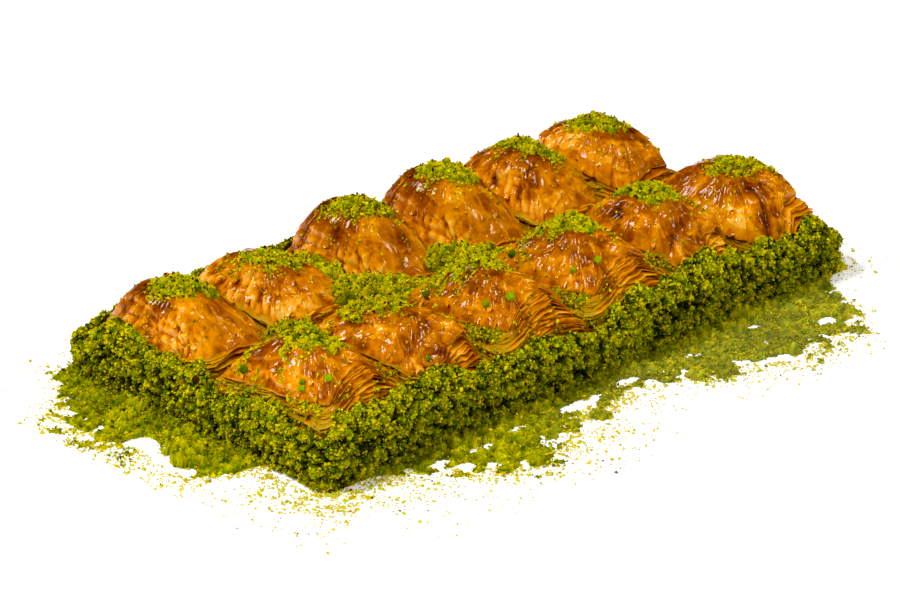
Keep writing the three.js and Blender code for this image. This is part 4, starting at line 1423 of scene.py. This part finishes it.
rng = np.random.default_rng(57)
loose = Shells()
flat = strewn(BED_CRUMBS, rng, crumb_chance)
height, there, clump = bed_surface(*flat.T)
radius = grain_radii(BED_CRUMBS, rng, (0.34, 0.5, 0.75))
height = np.where(there > BED_EDGE, height, 0) + 0.45 * radius
# Crumbs on clumps are painted a little lighter, as painted light
tone = nut_tones(BED_CRUMBS, rng, 0.50, 0.15, 0.010) + 0.16 * (clump - 0.4)
add_grains(loose, np.column_stack([flat, height]), radius, np.clip(tone, 0.02, 1), rng)
loose.make("bed_crumbs", dust_look, smooth=False)

rng = np.random.default_rng(63)
dust = Shells()
flat = strewn(SPECKS, rng, dust_chance)
radius = rng.uniform(0.28, 0.62, SPECKS)
radius = np.where(rng.random(SPECKS) < 0.12, rng.uniform(0.6, 1.1, SPECKS), radius)
tone = nut_tones(SPECKS, rng, 0.80, 0.08, 0.02)
add_grains(dust, np.column_stack([flat, 0.5 * radius]), radius, tone, rng, flat=0.6)
dust.make("bed_dust", dust_look, smooth=False)


# Single chopped bits on the caps

def rounded_block(steps):
    """Points and faces of a closed cube with rounded edges."""
    line = np.linspace(-1, 1, steps)
    a, b = np.meshgrid(line, line, indexing="ij")
    number = np.arange(a.size).reshape(a.shape)
    squares = split_squares(*(corner.ravel() for corner in corners_of(number)))
    points, faces = [], []
    for axis in range(3):
        for sign in (-1, 1):
            side = np.full(a.shape, float(sign))
            faces.append(squares[:, ::sign] + len(points) * a.size)
            points.append(np.stack(np.roll([side, a, b], axis, axis=0), -1).reshape(-1, 3))
    points, faces = np.concatenate(points), np.concatenate(faces)
    points = mix(points, 1.25 * points / np.linalg.norm(points, axis=1)[:, None], 0.4)
    points, number = np.unique(points.round(5), axis=0, return_inverse=True)
    return points, number.reshape(-1)[faces]


def add_bit(shells, place, shape, tone, green, rng):
    """One chopped bit: an uneven block, turned at random."""
    points, faces = rounded_block(5)
    x, y, z = points.T
    points = points * (1 + 0.16 * noise(1.7 * x + place[0], 1.7 * y + 1.3 * z, 5))[:, None]
    points = (points * shape / 2) @ turns(1, rng)[0].T
    shells.add(points + place, faces, tone=tone, green=green)


bits = Shells()
rng = np.random.default_rng(71)
every_top = np.concatenate([top for top, _ in caps.values()])
for (x, y), size, tone in CHOPPED_BITS:
    nearest = every_top[np.argmin(np.hypot(every_top[:, 0] - x, every_top[:, 1] - y))]
    shape = size * rng.uniform(0.85, 1.1, 3)
    add_bit(bits, nearest + [0, 0, 0.35 * size], shape, tone, 1.0, rng)
for place, size in BROWN_SKINS:
    add_bit(bits, np.array(place), size * np.array([1.1, 0.75, 0.6]), 1.0, 0.0, rng)
bits.make("chopped_bits", nut_look)


# Floor, light and camera

FLOOR_SIZE = 8.0
SENSOR_WIDTH = 36
# Focal length of the photo's camera and width of the photo, in pixels
FOCAL_PIXELS, PHOTO_WIDTH = 4256, 900
# Angles up to the camera and round to it, and its distance in metres
ELEVATION, AZIMUTH = math.radians(24.2), math.radians(-44.7)
CAMERA_DISTANCE = 1.6
# How far to the left of the block's middle and above it the camera points, in metres
AIM_LEFT, AIM_UP = 0.0064, 0.0073

# Places of lights are metres to the right, up and towards the camera from the block.
# Lights: name, place, size, power
LAMPS = (
    ("key", (-0.8, 1.25, 0.35), (0.4, 0.4), 18),
    ("fill", (0.9, 1.1, 0.8), (0.8, 0.8), 7.0),
    ("back", (0.3, 1.1, -1.1), (0.5, 0.3), 3.5),
)
# Soft boxes that only the syrup mirrors: place and width
GLINTS = (
    ((-1.0, 0.85, -0.2), 0.25),
    ((-0.5, 1.2, -0.45), 0.16),
    ((-0.35, 1.35, 0.45), 0.28),
    ((0.55, 1.2, -0.3), 0.16),
    ((1.0, 0.9, 0.2), 0.17),
)
# Power of a soft box for each square metre
GLINT_POWER = 70.0

level_back = Vector((math.sin(AZIMUTH), -math.cos(AZIMUTH), 0))
right_way = Vector((math.cos(AZIMUTH), math.sin(AZIMUTH), 0))
back_way = level_back * math.cos(ELEVATION) + Vector((0, 0, math.sin(ELEVATION)))
up_way = back_way.cross(right_way)
block_middle = Vector(MIDDLE * MM)


def add_floor():
    half = FLOOR_SIZE / 2
    mesh = bpy.data.meshes.new("floor")
    corners = [(-half, -half, 0), (half, -half, 0), (half, half, 0), (-half, half, 0)]
    mesh.from_pydata(corners, [], [(0, 1, 2, 3)])
    floor = placed("floor", mesh)
    mesh.materials.append(new_material(
        "white_floor", Base_Color=(1, 1, 1, 1), Roughness=0.9, Specular_IOR_Level=0.0,
        Emission_Color=(1, 1, 1, 1), Emission_Strength=0.22,
    )[0])


def add_light(name, place, size, power):
    """A lamp that shines on the block but isn't mirrored in the syrup."""
    lamp = bpy.data.lights.new(name, "AREA")
    lamp.shape = "RECTANGLE"
    lamp.size, lamp.size_y = size
    lamp.energy = power
    light = placed(name, lamp)
    right, up, back = place
    offset = right_way * right + Vector((0, 0, up)) + level_back * back
    light.location = block_middle + offset
    light.rotation_euler = offset.to_track_quat("Z", "Y").to_euler()
    light.visible_glossy = False
    return light


def add_camera():
    """A long lens from the front-left. The block's middle sits a little right and low."""
    camera = bpy.data.cameras.new("camera")
    camera.sensor_width = SENSOR_WIDTH
    camera.lens = SENSOR_WIDTH * FOCAL_PIXELS / PHOTO_WIDTH
    camera.clip_end = 50
    view = placed("camera", camera)
    target = block_middle - right_way * AIM_LEFT + up_way * AIM_UP
    view.location = target + back_way * CAMERA_DISTANCE
    view.rotation_euler = back_way.to_track_quat("Z", "Y").to_euler()
    bpy.context.scene.camera = view


add_floor()
for lamp in LAMPS:
    add_light(*lamp)
for number, (place, width) in enumerate(GLINTS):
    glint = add_light(f"glint_{number + 1}", place, (width, width), GLINT_POWER * width**2)
    glint.visible_glossy = True
    glint.visible_diffuse = False
    glint.data.color = (1.0, 0.87, 0.78)
add_camera()

world = bpy.data.worlds.new("studio")
bpy.context.scene.world = world
world.use_nodes = True
world.cycles_visibility.glossy = False
background = world.node_tree.nodes["Background"].inputs
background["Color"].default_value = (1, 1, 1, 1)
background["Strength"].default_value = 0.28
view_settings = bpy.context.scene.view_settings
view_settings.view_transform = "Standard"
view_settings.use_curve_mapping = True
view_settings.curve_mapping.black_level = (0.002, 0.002, 0.010)
view_settings.curve_mapping.update()
